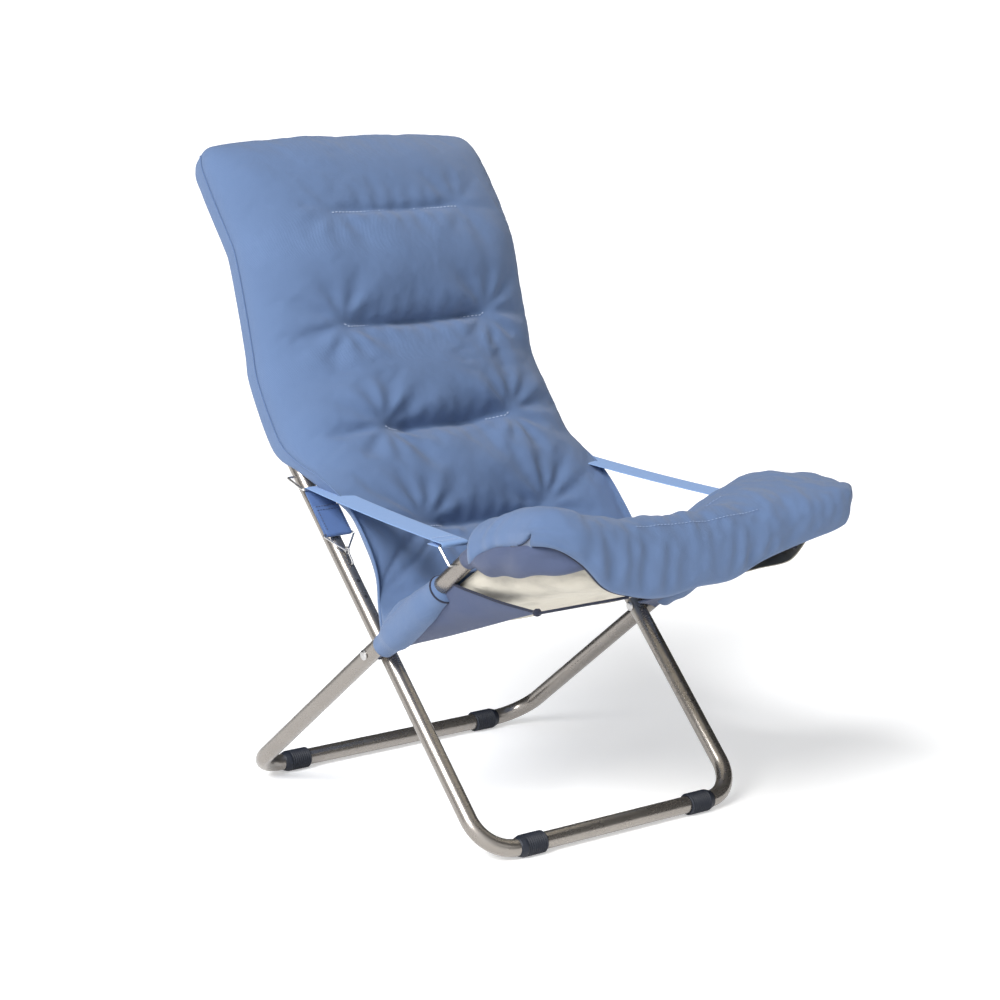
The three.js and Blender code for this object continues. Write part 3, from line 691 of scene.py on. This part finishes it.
def waves(seed, count, low, high):
    """Gentle random folds: a sum of slanted sine waves with lengths from low to high."""
    rng = np.random.default_rng(seed)
    angle = rng.uniform(0, math.pi, count)
    length = rng.uniform(low, high, count)
    phase = rng.uniform(0, 2 * math.pi, count)

    def height(x, s):
        total = np.zeros_like(x)
        for a, l, p in zip(angle, length, phase):
            total += np.sin((x * math.cos(a) + s * math.sin(a)) * 2 * math.pi / l + p)
        return total / math.sqrt(count)

    return height


def build_cushion():
    """The skin with its sewn channels, their puckers and folds, and the fill between them, each pressed in or out
    along the skin's normal. The arms lift it a little where they pass under its edges."""
    rows, share, middle = cushion_rows()
    normal = row_normals(rows)
    outward = np.sign((normal * [0, -1, 0.3]).sum(-1)[ALONG // 4, HALF_ROUND // 2])
    normal = normal * outward
    x, s = rows[..., 0], np.repeat(middle[:, None], rows.shape[1], axis=1)
    face = smooth_step(0.25, 0.75, share)
    press = np.zeros_like(x)
    seams = []
    front = rows[:, HALF_ROUND // 2, 1:]
    for index, (place, half, depth, width) in enumerate(channels):
        k = int(np.argmin(np.linalg.norm(front - place, axis=1)))
        seams.append(k)
        away = s - middle[k] - SEAM_BOW * (np.abs(x) / half) ** 2
        inside = 1 - smooth_step(half - 46, half + 18, np.abs(x))
        press -= depth * np.exp(-np.abs(away / width) ** 1.15) * inside
        press -= 1.6 * inside * bell(away, 30) * np.cos(x * 2 * math.pi / 31 + index) * (1 - bell(away, 5))
        for end in (-1, 1):
            dx, ds = x * end - half, away
            r = np.sqrt(dx**2 + ds**2) + 1e-6
            fan = np.cos(np.arctan2(ds, dx) * (7 + index) + 1.3 * index + end)
            press += (2.6 if index == 0 else 6.5) * fan * np.exp(-r / 72) * smooth_step(12, 44, r)
            press -= (1 if index == 0 else 2.5) * bell(r, 20)
    for a, b in zip(seams, seams[1:]):
        centre, span = (middle[a] + middle[b]) / 2, (middle[b] - middle[a]) / 2
        press += 9.0 * np.clip(1 - ((s - centre) / span) ** 2, 0, 1) * (1 - (x / 225) ** 2).clip(0)
    press += 1.5 * waves(4, 9, 60, 150)(x, s) + 0.55 * waves(9, 11, 18, 46)(x, s)
    rows = rows + normal * (press * face)[..., None]
    back_waves = waves(21, 8, 40, 120)(x, s) * smooth_step(0.0, 0.2, 1 - share) * 0.9
    rows = rows + normal * (back_waves * (1 - face) * bell(np.abs(x), 190))[..., None]
    over_arm = np.abs(rows[..., 2] - arm_level(rows[..., 1])) < 40
    ahead = smooth_step(60, 110, pivot[0] + 60 - rows[..., 1])
    rows[..., 2] += 15 * bell(np.abs(x) - arm_x + 3, 15) * share * ahead * over_arm
    return rows, middle, seams, share


def pillow(thing, hold, limit):
    """Cloth simulation of a padded skin: air pressure swells it from within while the held points stay, and the
    cloth is cut a little large, so that it puckers along its seams. No point moves further than the limit, in
    metres. hold is each point's pinning, from 0, free, to 1, sewn down."""
    rest = np.empty(len(thing.data.vertices) * 3, np.float32)
    thing.data.vertices.foreach_get("co", rest)
    group = thing.vertex_groups.new(name="sewn")
    for level in np.unique(np.round(hold, 1)):
        group.add(np.flatnonzero(np.round(hold, 1) == level).tolist(), float(level), "REPLACE")
    cloth_modifier = thing.modifiers.new("swell", "CLOTH")
    settings = cloth_modifier.settings
    settings.quality = 6
    settings.mass = 0.25
    settings.tension_stiffness = settings.compression_stiffness = 22
    settings.shear_stiffness = 8
    settings.bending_stiffness = 0.12
    settings.vertex_group_mass = "sewn"
    settings.use_pressure = True
    settings.uniform_pressure_force = 4
    settings.shrink_min = -0.005
    settings.effector_weights.gravity = 0
    cloth_modifier.collision_settings.use_collision = False
    scene = bpy.context.scene
    for moment in range(1, 21):
        scene.frame_set(moment)
    swollen = thing.evaluated_get(bpy.context.evaluated_depsgraph_get())
    moved = np.empty_like(rest)
    swollen.data.vertices.foreach_get("co", moved)
    thing.modifiers.remove(cloth_modifier)
    thing.vertex_groups.clear()
    scene.frame_set(1)
    change = (moved - rest).reshape(-1, 3)
    far = np.linalg.norm(change, axis=1, keepdims=True)
    change *= np.minimum(1, limit / np.maximum(far, 1e-9))
    thing.data.vertices.foreach_set("co", (rest.reshape(-1, 3) + change).ravel())
    thing.data.update()


def cushion_hold(rows, middle, seams, share):
    """The seams and the pockets round the tubes are sewn down, the rear face is half held, the front is free."""
    x, s = rows[..., 0], np.repeat(middle[:, None], rows.shape[1], axis=1)
    hold = 1 - smooth_step(0.12, 0.5, share)
    for (_, half, _, _), k in zip(channels, seams):
        away = s - middle[k] - SEAM_BOW * (np.abs(x) / half) ** 2
        hold = np.maximum(hold, (np.abs(away) < 4.5) * (np.abs(x) < half) * 1.0)
    hold[:6] = 1  # the top seam
    hold[-30:] = 1  # under the front lap
    return np.concatenate([hold.ravel(), [1, 1]])


cushion_points, cushion_middle, seam_rows, front_share = build_cushion()
cushion = piece("cushion", cushion_points, blue_cloth, wrap=True, caps=True)
if len(cushion.data.vertices) == cushion_points[..., 0].size + 2:
    pillow(cushion, cushion_hold(cushion_points, cushion_middle, seam_rows, front_share), 0.012)
skin = np.empty(len(cushion.data.vertices) * 3)
cushion.data.vertices.foreach_get("co", skin)
skin = skin.reshape(-1, 3)[: cushion_points[..., 0].size].reshape(cushion_points.shape) / MM
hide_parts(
    "head_chamber",
    "upper_back_chamber",
    "middle_back_chamber",
    "lower_back_chamber",
    "crease_chamber",
    "seat_chamber",
    "arm_sleeve_right",
    "arm_sleeve_left",
)
BEND_START = (0, *(on_post(106, 50) * MM))  # a place on the post; nothing reads it


def bend_with_fold(thing):
    """Bakes the object's placing into its mesh; the cloth is not bent between the two frames."""
    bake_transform(thing)


smoother = cushion.modifiers.new("smooth", "SUBSURF")
smoother.levels = smoother.render_levels = 1
bend_with_fold(cushion)


def stitch_bars(line, length, gap, radius):
    """Short bars of thread laid along a line, each with rounded ends."""
    s = lengths_along(line)
    starts = np.arange(0, s[-1] - length, length + gap)
    bars = []
    for start in starts:
        spots = start + np.linspace(0, length, 5)
        path = np.stack([np.interp(spots, s, line[:, k]) for k in range(3)], -1)
        bars.append(swept(path, radius * np.array([0.35, 0.95, 1, 0.95, 0.35]), 6))
    return bars


def rod(name, line, radius, material, sides=10):
    """A round bar along a line, closed at its ends: a cord, a piping or a padded sleeve."""
    return piece(name, swept(line, radius, sides), material, wrap=True, caps=True)


def stitch_piece(name, lines, length, gap, radius, material):
    """One row of stitches along each line."""
    bars = [bar for line in lines for bar in stitch_bars(line, length, gap, radius)]
    return piece(name, bars, material, wrap=True, caps=True)


skin_normal = row_normals(skin)
if skin_normal[ALONG // 4, HALF_ROUND // 2, 1] > 0:
    skin_normal = -skin_normal
for index, ((_, half, _, _), k) in enumerate(zip(channels, seam_rows)):
    column = np.arange(HALF_ROUND)
    x_line = cushion_points[k, :HALF_ROUND, 0]
    wanted = cushion_middle[k] + SEAM_BOW * (np.abs(x_line) / half) ** 2
    row = np.clip(np.searchsorted(cushion_middle, wanted), 1, ALONG - 2)
    inside = np.abs(x_line) < half
    line = (skin[row, column] + skin_normal[row, column] * 1.1)[inside]
    thread = stitch_piece(f"channel_thread_{index + 1}", [resample(line, 160)], 4.2, 2.4, 0.75, pale_thread)
    bend_with_fold(thread)

for side_name, column in (("right", 0), ("left", HALF_ROUND - 1)):
    edge = skin[8 : ALONG - 70, column] * [1.003, 1, 1]
    bend_with_fold(rod("side_piping_" + side_name, resample(edge, 260), 1.7, blue_cloth))


def folded_tab():
    """A small plain tab folded over the side seam: a flat loop 16 by 10 mm."""
    place = on_post(POST_LENGTH - 12, 26)
    u = np.linspace(-1, 1, 14)[:, None]
    v = np.linspace(-1, 1, 12)[None, :]
    d, n = unit(waist - pivot), unit(on_post(0, 1) - pivot)
    x = -(BACK_EDGE - 7) - 3.0 * np.sqrt(np.clip(1 - (v * 0.9) ** 2, 0, 1)) + 0 * u
    along, out = 8 * u + 0 * v, 6 * v + 0 * u
    return np.stack([x, place[0] + d[0] * along + n[0] * out, place[1] + d[1] * along + n[1] * out], -1)


# ---------------------------------------------------------------- arm straps
WIRE_STANDOFF = RING_WIRE / 2 + STRAP_THICKNESS / 2 + 0.4
TAIL_OUT = tube_radius + 6
post_bar = on_post(RING_HOLE_POST - POST_RING_LENGTH * 0.86, TAIL_OUT + WIRE_STANDOFF)
arm_bar = polar(on_arm(RING_HOLE_ARM), ARM_RING_LENGTH, ARM_RING_TILT)
triangle_base = on_post(RING_HOLE_POST - POST_RING_LENGTH * 0.86 - TAIL_DROP, TAIL_OUT)


def arc(centre, radius, start, end, count=12):
    return [polar(centre, radius, a) for a in np.linspace(start, end, count)]


def band(line, share, side, width=STRAP_WIDTH):
    """Rows of a flat webbing band: each row is a thin oval, square-cornered across, about a point of the line."""
    tangent = unit(np.gradient(line, axis=0))
    normal = np.stack([-tangent[:, 1], tangent[:, 0]], -1)
    a = np.linspace(0, 2 * math.pi, 36, endpoint=False)[None, :]
    x = np.sign(np.cos(a)) * np.abs(np.cos(a)) ** 0.3 * width / 2
    d = np.sign(np.sin(a)) * np.abs(np.sin(a)) ** 0.6 * STRAP_THICKNESS / 2
    centre = side * (post_x + (arm_x - post_x) * share)
    y = line[:, :1] + normal[:, :1] * d
    z = line[:, 1:] + normal[:, 1:] * d
    return np.stack([centre[:, None] + x + 0 * y, y, z], -1)


for side_name, side in SIDES.items():
    run = heading(arm_bar, post_bar)
    down = post_angle + math.pi
    under = polar(polar(arm_bar, WIRE_STANDOFF, run - math.pi / 2), 34, run - math.radians(2))
    over_line = [under] + arc(arm_bar, WIRE_STANDOFF, run - math.pi / 2, run - 1.5 * math.pi)
    over_line += arc(post_bar, WIRE_STANDOFF, run + math.pi / 2, down - 1.5 * math.pi)
    over_line = resample(np.array(over_line), 130)
    share = np.clip((post_bar[0] - over_line[:, 0]) / (post_bar[0] - arm_bar[0]), 0, 1)
    over_line[:, 1] -= 2.5 * np.sin(math.pi * share)
    rows = band(over_line, share, side)
    strap = piece("arm_webbing_" + side_name, rows, strap_webbing, wrap=True, caps=True)
    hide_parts("arm_strap_" + side_name)
    reach = arm_bar - post_bar
    start, end = [(0, *(place * MM)) for place in (post_bar + reach * 0.1, arm_bar - reach * 0.15)]
    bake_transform(strap)
    loop = TRIANGLE_WIRE / 2 + STRAP_THICKNESS / 2 + 0.4
    tail_line = [polar(post_bar, WIRE_STANDOFF, down - 1.5 * math.pi)]
    tail_line += arc(triangle_base, loop, post_angle - math.pi / 2, post_angle - 1.5 * math.pi)
    tail_line.append(polar(polar(triangle_base, loop, post_angle + math.pi / 2), TAIL_DROP * 0.62, post_angle))
    tail_line = resample(np.array(tail_line), 90)
    rows = band(tail_line, np.zeros(90), side)
    # The tail takes the darker webbing: painted shade on the same strap.
    tail = piece("strap_tail_" + side_name, rows, shaded_tail_webbing, wrap=True, caps=True)
    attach(tail, "back_frame")
    face = polar(triangle_base, loop + 1.3, post_angle + math.pi / 2)
    low, high, first, second = [polar(face, TAIL_DROP * k, post_angle) for k in (0.08, 0.5, 0.52, 0.60)]
    centre = side * post_x
    rows = [np.linspace(at(centre - 19, spot), at(centre + 19, spot), 40) for spot in (first, second)]
    rows += [np.linspace(at(centre + x, low), at(centre + x, high), 40) for x in (-18, 18)]
    sewn = stitch_piece("tail_stitches_" + side_name, rows, 3.2, 1.6, 0.55, dark_thread)
    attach(sewn, "back_frame")
    hem_rows = []
    for along in (9, 27):
        spot = polar(polar(arm_bar, WIRE_STANDOFF + 1.2, run + math.pi / 2), along, run)
        hem_rows.append(np.linspace(at(side * arm_x - 19, spot), at(side * arm_x + 19, spot), 40))
    hem_thread = stitch_piece("hem_stitches_" + side_name, hem_rows, 3.2, 1.6, 0.5, pale_thread)
    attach(hem_thread, "seat_frame")

tab = piece("side_tab", thickened(folded_tab(), 1.6), tab_cloth, wrap=True)
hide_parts("seam_tab")
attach(tab, "back_frame")

# ---------------------------------------------------------------- front lap and ears
LAP_ACROSS = 260
LAP_ALONG = 76
LAP_WALL = 13
CURL_RADIUS = 27.0
LAP_REACH = arm_x + 46  # half the lap's width, measured over its curled sides

# Heights of the lap's lines above the front bar, from the sitter's right to the left: where it leaves the seat,
# over the back of the bar, on its crest, on its face, and at its lower hem. The ears stand up at both ends.
lap_places = np.array([-LAP_REACH, -262, -232, -195, -150, -95, -30, 35, 85, 130, 175, 215, 255, LAP_REACH])
lap_heights = np.array(
    [
        [0, 4, -2, -20, -34, -42, -46, -40, -8, 10, 18, 20, 16, 12],
        [34, 40, 34, 16, 2, -3, -4, 2, 20, 28, 31, 31, 27, 22],
        [42, 46, 41, 29, 22, 18, 17, 18, 21, 23, 25, 26, 25, 21],
        [26, 26, 22, 10, 0, -5, -8, -7, -2, 2, 7, 12, 18, 20],
        [2, 2, -18, -54, -72, -82, -76, -74, -57, -47, -39, -33, -28, -22],
    ],
    float,
)
lap_knots = np.array([0.0, 0.42, 0.6, 0.78, 1.0])


def across_lines(knots, values, at_places):
    """Smooth lines through the knots for every row of values, read at the given places."""
    slope = np.gradient(values, knots, axis=-1)
    k = np.clip(np.searchsorted(knots, at_places, side="right") - 1, 0, len(knots) - 2)
    h = knots[k + 1] - knots[k]
    u = (at_places - knots[k]) / h
    return hermite(values[..., k], values[..., k + 1], slope[..., k] * h, slope[..., k + 1] * h, u)


def lap_rows():
    """The front of the cushion, laid over the seat hoop like a hood. A point is set by its distance across, which
    runs straight and then curls down outside the arm, and by its share of the way from the seat, over the bar,
    to the lower hem. The bar's line turns back at the corners as the tube does."""
    a = np.linspace(-LAP_REACH, LAP_REACH, LAP_ACROSS)
    v = np.linspace(0, 1, LAP_ALONG)
    flat = arm_x - 12
    over = np.maximum(np.abs(a) - flat, 0)
    angle = np.minimum(over / CURL_RADIUS, math.pi / 2)
    straight = np.maximum(over - CURL_RADIUS * math.pi / 2, 0)
    x = np.sign(a) * (np.minimum(np.abs(a), flat) + CURL_RADIUS * np.sin(angle))
    fall = CURL_RADIUS * (1 - np.cos(angle)) + straight
    turn = np.clip((np.abs(x) - (arm_x - CORNER_RADIUS)) / (CORNER_RADIUS + 15), 0, 1)
    bar_y = seat_front[0] + CORNER_RADIUS * 0.8 * (1 - np.sqrt(1 - turn**2))
    rear_y = -305 + 38 * smooth_step(130, 235, np.abs(x))
    depth = [rear_y, bar_y + 42, bar_y - 2, bar_y - 25, bar_y - 22]
    height = across_lines(lap_places, lap_heights, a)
    y = across_lines(lap_knots, np.stack(depth, -1), v)
    z = across_lines(lap_knots, (seat_front[1] + height).T, v)
    z = z - fall[:, None] * (1 - smooth_step(0.55, 0.85, v))[None, :]
    tip = 15 * smooth_step(230, LAP_REACH, a)[:, None] * (1 - smooth_step(0.5, 0.95, v))[None, :]
    return np.stack([x[:, None] + tip, y, z], -1)


def build_lap():
    """The lap's wall stands half its thickness to each side of its middle surface, and closes round the rim."""
    rows = lap_rows()
    normal = unit(np.cross(np.gradient(rows, axis=0), np.gradient(rows, axis=1)))
    if normal[LAP_ACROSS // 2, LAP_ALONG // 2, 2] < 0:
        normal = -normal
    x = rows[..., 0]
    v = np.broadcast_to(np.linspace(0, 1, LAP_ALONG)[None, :], x.shape)
    press = 1.6 * waves(31, 9, 40, 120)(x, v * 190) + 0.7 * waves(37, 9, 16, 40)(x, v * 190)
    gathers = smooth_step(0.7, 0.96, v) * (1 - smooth_step(120, 210, np.abs(x + 60)))
    press += gathers * 2.4 * waves(41, 5, 22, 48)(x, 0 * x)
    rim = np.clip(np.minimum(v, 1 - v) * 190 / 16, 0, 1)
    end = np.clip(np.minimum(np.arange(LAP_ACROSS), np.arange(LAP_ACROSS)[::-1])[:, None] / 6, 0, 1)
    thick = LAP_WALL * np.sqrt(1 - (1 - rim) ** 2) * np.sqrt(1 - (1 - end) ** 2) + 0.4
    outer = rows + normal * (press * rim + thick * 0.5)[..., None]
    inner = rows - normal * (thick * 0.5)[..., None]
    return np.concatenate([outer, inner[:, ::-1]], axis=1)


lap = piece("front_lap", build_lap(), blue_cloth, wrap=True, caps=True)
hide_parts("front_flounce")
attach(lap, "seat_frame")

hem_line = lap_rows()[18:-18, -1] + [0, 3, 1]
hem_cord = rod("hem_cord", resample(hem_line, 240), 2.0, binding)
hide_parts("hem_elastic")
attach(hem_cord, "seat_frame")

lap_face = build_lap()[:, :LAP_ALONG]
for index, place in enumerate((30, 52)):
    spots = np.arange(LAP_ACROSS // 2 - 60, LAP_ACROSS // 2 + 34)
    line = lap_face[spots, place] + [0, -0.9 if index else 0, 0.9]
    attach(stitch_piece(f"lap_thread_{index + 1}", [resample(line, 140)], 3.6, 2.6, 0.5, lap_thread), "seat_frame")

LINING_POINTS = 110


def lining_rows(side):
    """The pocket that holds the arm's front run and its corner, in the darker copy of the blue cloth that paints
    shade on it. The right one hangs loose and the left one is drawn tight."""
    corners = [at(side * arm_x, p) for p in (on_arm(WINDOW[1] + 12), arm_bend, seat_front)]
    path = resample(bent(corners + [at(side * 60, seat_front)], [ARM_BEND_RADIUS, CORNER_RADIUS]), LINING_POINTS)
    slack = (7 if side < 0 else 1) * smooth_step(0, 18, np.arange(LINING_POINTS))[:, None]
    path[:, 2:] -= slack
    out = swept(path, np.full(LINING_POINTS, 1.0), 40) - path[:, None]
    run = np.linspace(0, 1, LINING_POINTS)[:, None]
    around = np.linspace(0, 2 * math.pi, 40, endpoint=False)[None, :]
    folds = 0.3 * np.sin(3 * around + 5 * run) + 0.2 * np.sin(2 * around + 34 * run)
    loose = tube_radius + 0.9 * slack + 0.8 + slack * folds
    tall = 1 + 0.03 * slack * np.abs(out[..., 2])
    return path[:, None] + out * (loose * tall)[..., None]


for side_name, side in SIDES.items():
    # The arm's pocket ends in a bound mouth, and the tube runs out of it.
    spots = np.linspace(34, WINDOW[0] + 14, 70)
    sleeve_line = np.array([at(side * (arm_x - 1), on_arm(s, -5)) for s in spots])
    girth = np.interp(spots, [34, 70, 130, 180, spots[-1]], [17, 24, 26, 23, 19])
    girth += 0.8 * waves(71, 4, 24, 60)(spots, 0 * spots)
    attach(rod("sleeve_mouth_" + side_name, sleeve_line, girth, blue_cloth, 32), "seat_frame")
    rim = swept(sleeve_line[-3:], girth[-1], 48)[1]
    rim = np.concatenate([rim, rim[:1]])
    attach(rod("mouth_binding_" + side_name, rim, 1.8, binding), "seat_frame")
    rows = lining_rows(side)
    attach(piece("hoop_lining_" + side_name, rows, shaded_blue_cloth, wrap=True, caps=True), "seat_frame")

# ---------------------------------------------------------------- canvas sling and gussets
SLING_WALL = 1.4


def sling_rows():
    """The sling hangs from the arms like a hammock. At each distance back its section is a flat-bottomed oval
    hung between two points under the arms: the distance across as a share of the half-width, and the depth as a
    share of the drop, add up to one when each is raised to the power of 3.2."""
    y = np.linspace(-70, -432, 90)[:, None]
    t = np.linspace(-1, 1, 150)[None, :]
    half = np.interp(-y, [70, 200, 330, 400, 432], [246, 250, 248, 232, 205])
    rim = arm_level(y) - np.interp(-y, [70, 200, 300, 432], [10, 14, 20, 24])
    floor_z = np.interp(-y, [70, 140, 218, 300, 360, 432], [288, 308, 337, 372, 388, 402])
    n = 3.2
    a = t * math.pi / 2
    x = half * np.sign(np.sin(a)) * np.abs(np.sin(a)) ** (2 / n)
    drop = np.abs(np.cos(a)) ** (2 / n)
    sag = 1.5 * waves(51, 6, 40, 110)(x, y + 0 * x) * drop
    lift = 30 * smooth_step(150, 225, x) * smooth_step(200, 350, -y)
    z = np.minimum(rim + (floor_z - rim) * drop + sag + lift, rim + 2)
    return np.stack([x, y + 0 * x, z], -1)


def even_rows(rows):
    """The same rows, each with its points evenly spaced."""
    return np.stack([resample(row, rows.shape[1]) for row in rows])


sling_points = even_rows(sling_rows())
sling = piece("canvas_sling", thickened(sling_points, SLING_WALL), cream_canvas, wrap=True)
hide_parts("base_sling")
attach(sling, "seat_frame")


def gusset_rows(side):
    """The side wall under an arm's sleeve: from the sleeve's underside down to the low edge of the seat, with a
    slanting front edge that runs from the window to the knot of the elastic."""
    run = np.linspace(0, 1, 80)[:, None]
    down = np.linspace(0, 1, 36)[None, :]
    top_y = -34 - run * (WINDOW[0] - 16)
    low_y = -46 - run * 292
    y = top_y + (low_y - top_y) * down
    top_z = arm_level(top_y) - 15
    low_z = (30 if side > 0 else 0) * run**1.5
    low_z = low_z + np.interp(-low_y, [46, 137, 217, 295, 340], [270, 300, 328, 356, 371])
    z = top_z + (low_z - top_z) * down
    x = arm_x - 1 - 44 * down**1.5 + 5 * np.sin(math.pi * down) * np.sin(math.pi * run)
    x = x + 1.3 * waves(61, 6, 30, 90)(y, z) * np.sin(math.pi * down)
    return np.stack([side * x, y + 0 * x, z + 0 * x], -1)


for side_name, side in SIDES.items():
    wall = gusset_rows(side)
    # The gussets take the darker copy of the blue cloth: painted shade under the arms.
    gusset = piece("seat_gusset_" + side_name, thickened(wall, 3), shaded_blue_cloth, wrap=True)
    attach(gusset, "seat_frame")
    edge = wall[-1] + [side * 0.5, -0.5, 0]
    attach(rod("gusset_binding_" + side_name, edge, 2.0, binding), "seat_frame")
    knot = wall[-1, -1]
    hem_end = np.array([side * 150, seat_front[0] - 20, seat_front[1] - (72 if side < 0 else 44)])
    cord_line = np.linspace(0, 1, 40)[:, None] * (hem_end - knot) + knot + [side * 1, -1, -1]
    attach(rod("side_elastic_" + side_name, cord_line, 2.0, binding), "seat_frame")
    lump = turned([[-7, 0.5], [-5, 4], [-1, 5.5], [3, 5], [7, 0.5]], (knot[1], knot[2]), 20) + [knot[0], 0, 0]
    tie = piece("elastic_knot_" + side_name, lump, binding, wrap=True, caps=True)
    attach(tie, "seat_frame")

# ---------------------------------------------------------------- floor, light and camera
def build_stage():
    """A wide white floor that glows a little."""
    edge = 9000.0
    rows = np.array([[[-edge, -edge, 0], [edge, -edge, 0]], [[-edge, edge, 0], [edge, edge, 0]]])
    white = Paint("floor_white", (0.8, 0.8, 0.8), 0.9, Emission_Color=(1, 1, 1, 1), Emission_Strength=0.42)
    piece("floor", rows - [0, 0, 0.2], white.material)


def build_world():
    """Soft surroundings, brighter to the right and overhead, with a bright front that only glossy surfaces show.
    The camera itself meets plain white."""
    world = bpy.data.worlds.new("studio")
    world.use_nodes = True
    tree = world.node_tree
    back = tree.nodes["Background"]
    spot = tree.nodes.new("ShaderNodeTexCoord")

    def glow(towards, *limits):
        """Brightness that rises from the third limit to the fourth, as the cosine of the angle between the line of
        sight and a direction goes from the first limit to the second."""
        lean = tree.nodes.new("ShaderNodeVectorMath")
        lean.operation = "DOT_PRODUCT"
        lean.inputs[1].default_value = towards
        ramp = tree.nodes.new("ShaderNodeMapRange")
        tree.links.new(spot.outputs["Generated"], lean.inputs[0])
        tree.links.new(lean.outputs["Value"], ramp.inputs[0])
        for k, value in enumerate(limits, 1):
            ramp.inputs[k].default_value = value
        return ramp.outputs[0]

    soft = glow((-0.72, -0.2, 0.62), -0.5, 0.8, 0.07, 0.52)
    strip = glow((-0.78, -0.6, 0.18), 0.35, 0.98, 0.02, 1.5)
    sight = tree.nodes.new("ShaderNodeLightPath")
    choose = tree.nodes.new("ShaderNodeMix")
    shine = tree.nodes.new("ShaderNodeMix")
    tree.links.new(sight.outputs["Is Glossy Ray"], shine.inputs[0])
    tree.links.new(soft, shine.inputs[2])
    tree.links.new(strip, shine.inputs[3])
    tree.links.new(sight.outputs["Is Camera Ray"], choose.inputs[0])
    tree.links.new(shine.outputs[0], choose.inputs[2])
    choose.inputs[3].default_value = 1.3
    tree.links.new(choose.outputs[0], back.inputs[1])
    back.inputs[0].default_value = (0.97, 0.98, 1.0, 1)
    bpy.context.scene.world = world
    bpy.context.scene.view_settings.view_transform = "Standard"


def add_light(name, kind, towards, power, **settings):
    """A lamp that shines from the direction given; the settings are the lamp's own."""
    light = bpy.data.lights.new(name, kind)
    light.energy = power
    for setting, value in settings.items():
        setattr(light, setting, value)
    thing = bpy.data.objects.new(name, light)
    bpy.context.scene.collection.objects.link(thing)
    thing.rotation_euler = Vector(towards).to_track_quat("Z", "Y").to_euler()
    return thing


def build_camera():
    """The camera looks at the chair from its front right, a little above, from 3.64 m away."""
    azimuth, elevation, distance = math.radians(-38.14), math.radians(10.67), 3.642
    target = Vector((-0.0687, -0.0694, 0.4645))
    level = math.cos(elevation)
    back = Vector((math.sin(azimuth) * level, -math.cos(azimuth) * level, math.sin(elevation)))
    data = bpy.data.cameras.new("camera")
    data.sensor_width = 36
    data.lens = 91.68
    thing = bpy.data.objects.new("camera", data)
    bpy.context.scene.collection.objects.link(thing)
    thing.location = target + back * distance
    thing.rotation_euler = (-back).to_track_quat("-Z", "Y").to_euler()
    bpy.context.scene.camera = thing


build_stage()
build_world()
add_light("key", "SUN", (-0.8, -0.28, 0.7), 3.9, angle=math.radians(26))
fill_place, seat_middle = Vector((1.2, -3.8, 1.7)), Vector((0, 0, 0.45))
add_light("front_fill", "AREA", fill_place - seat_middle, 7, shape="DISK", size=1.6).location = fill_place
build_camera()
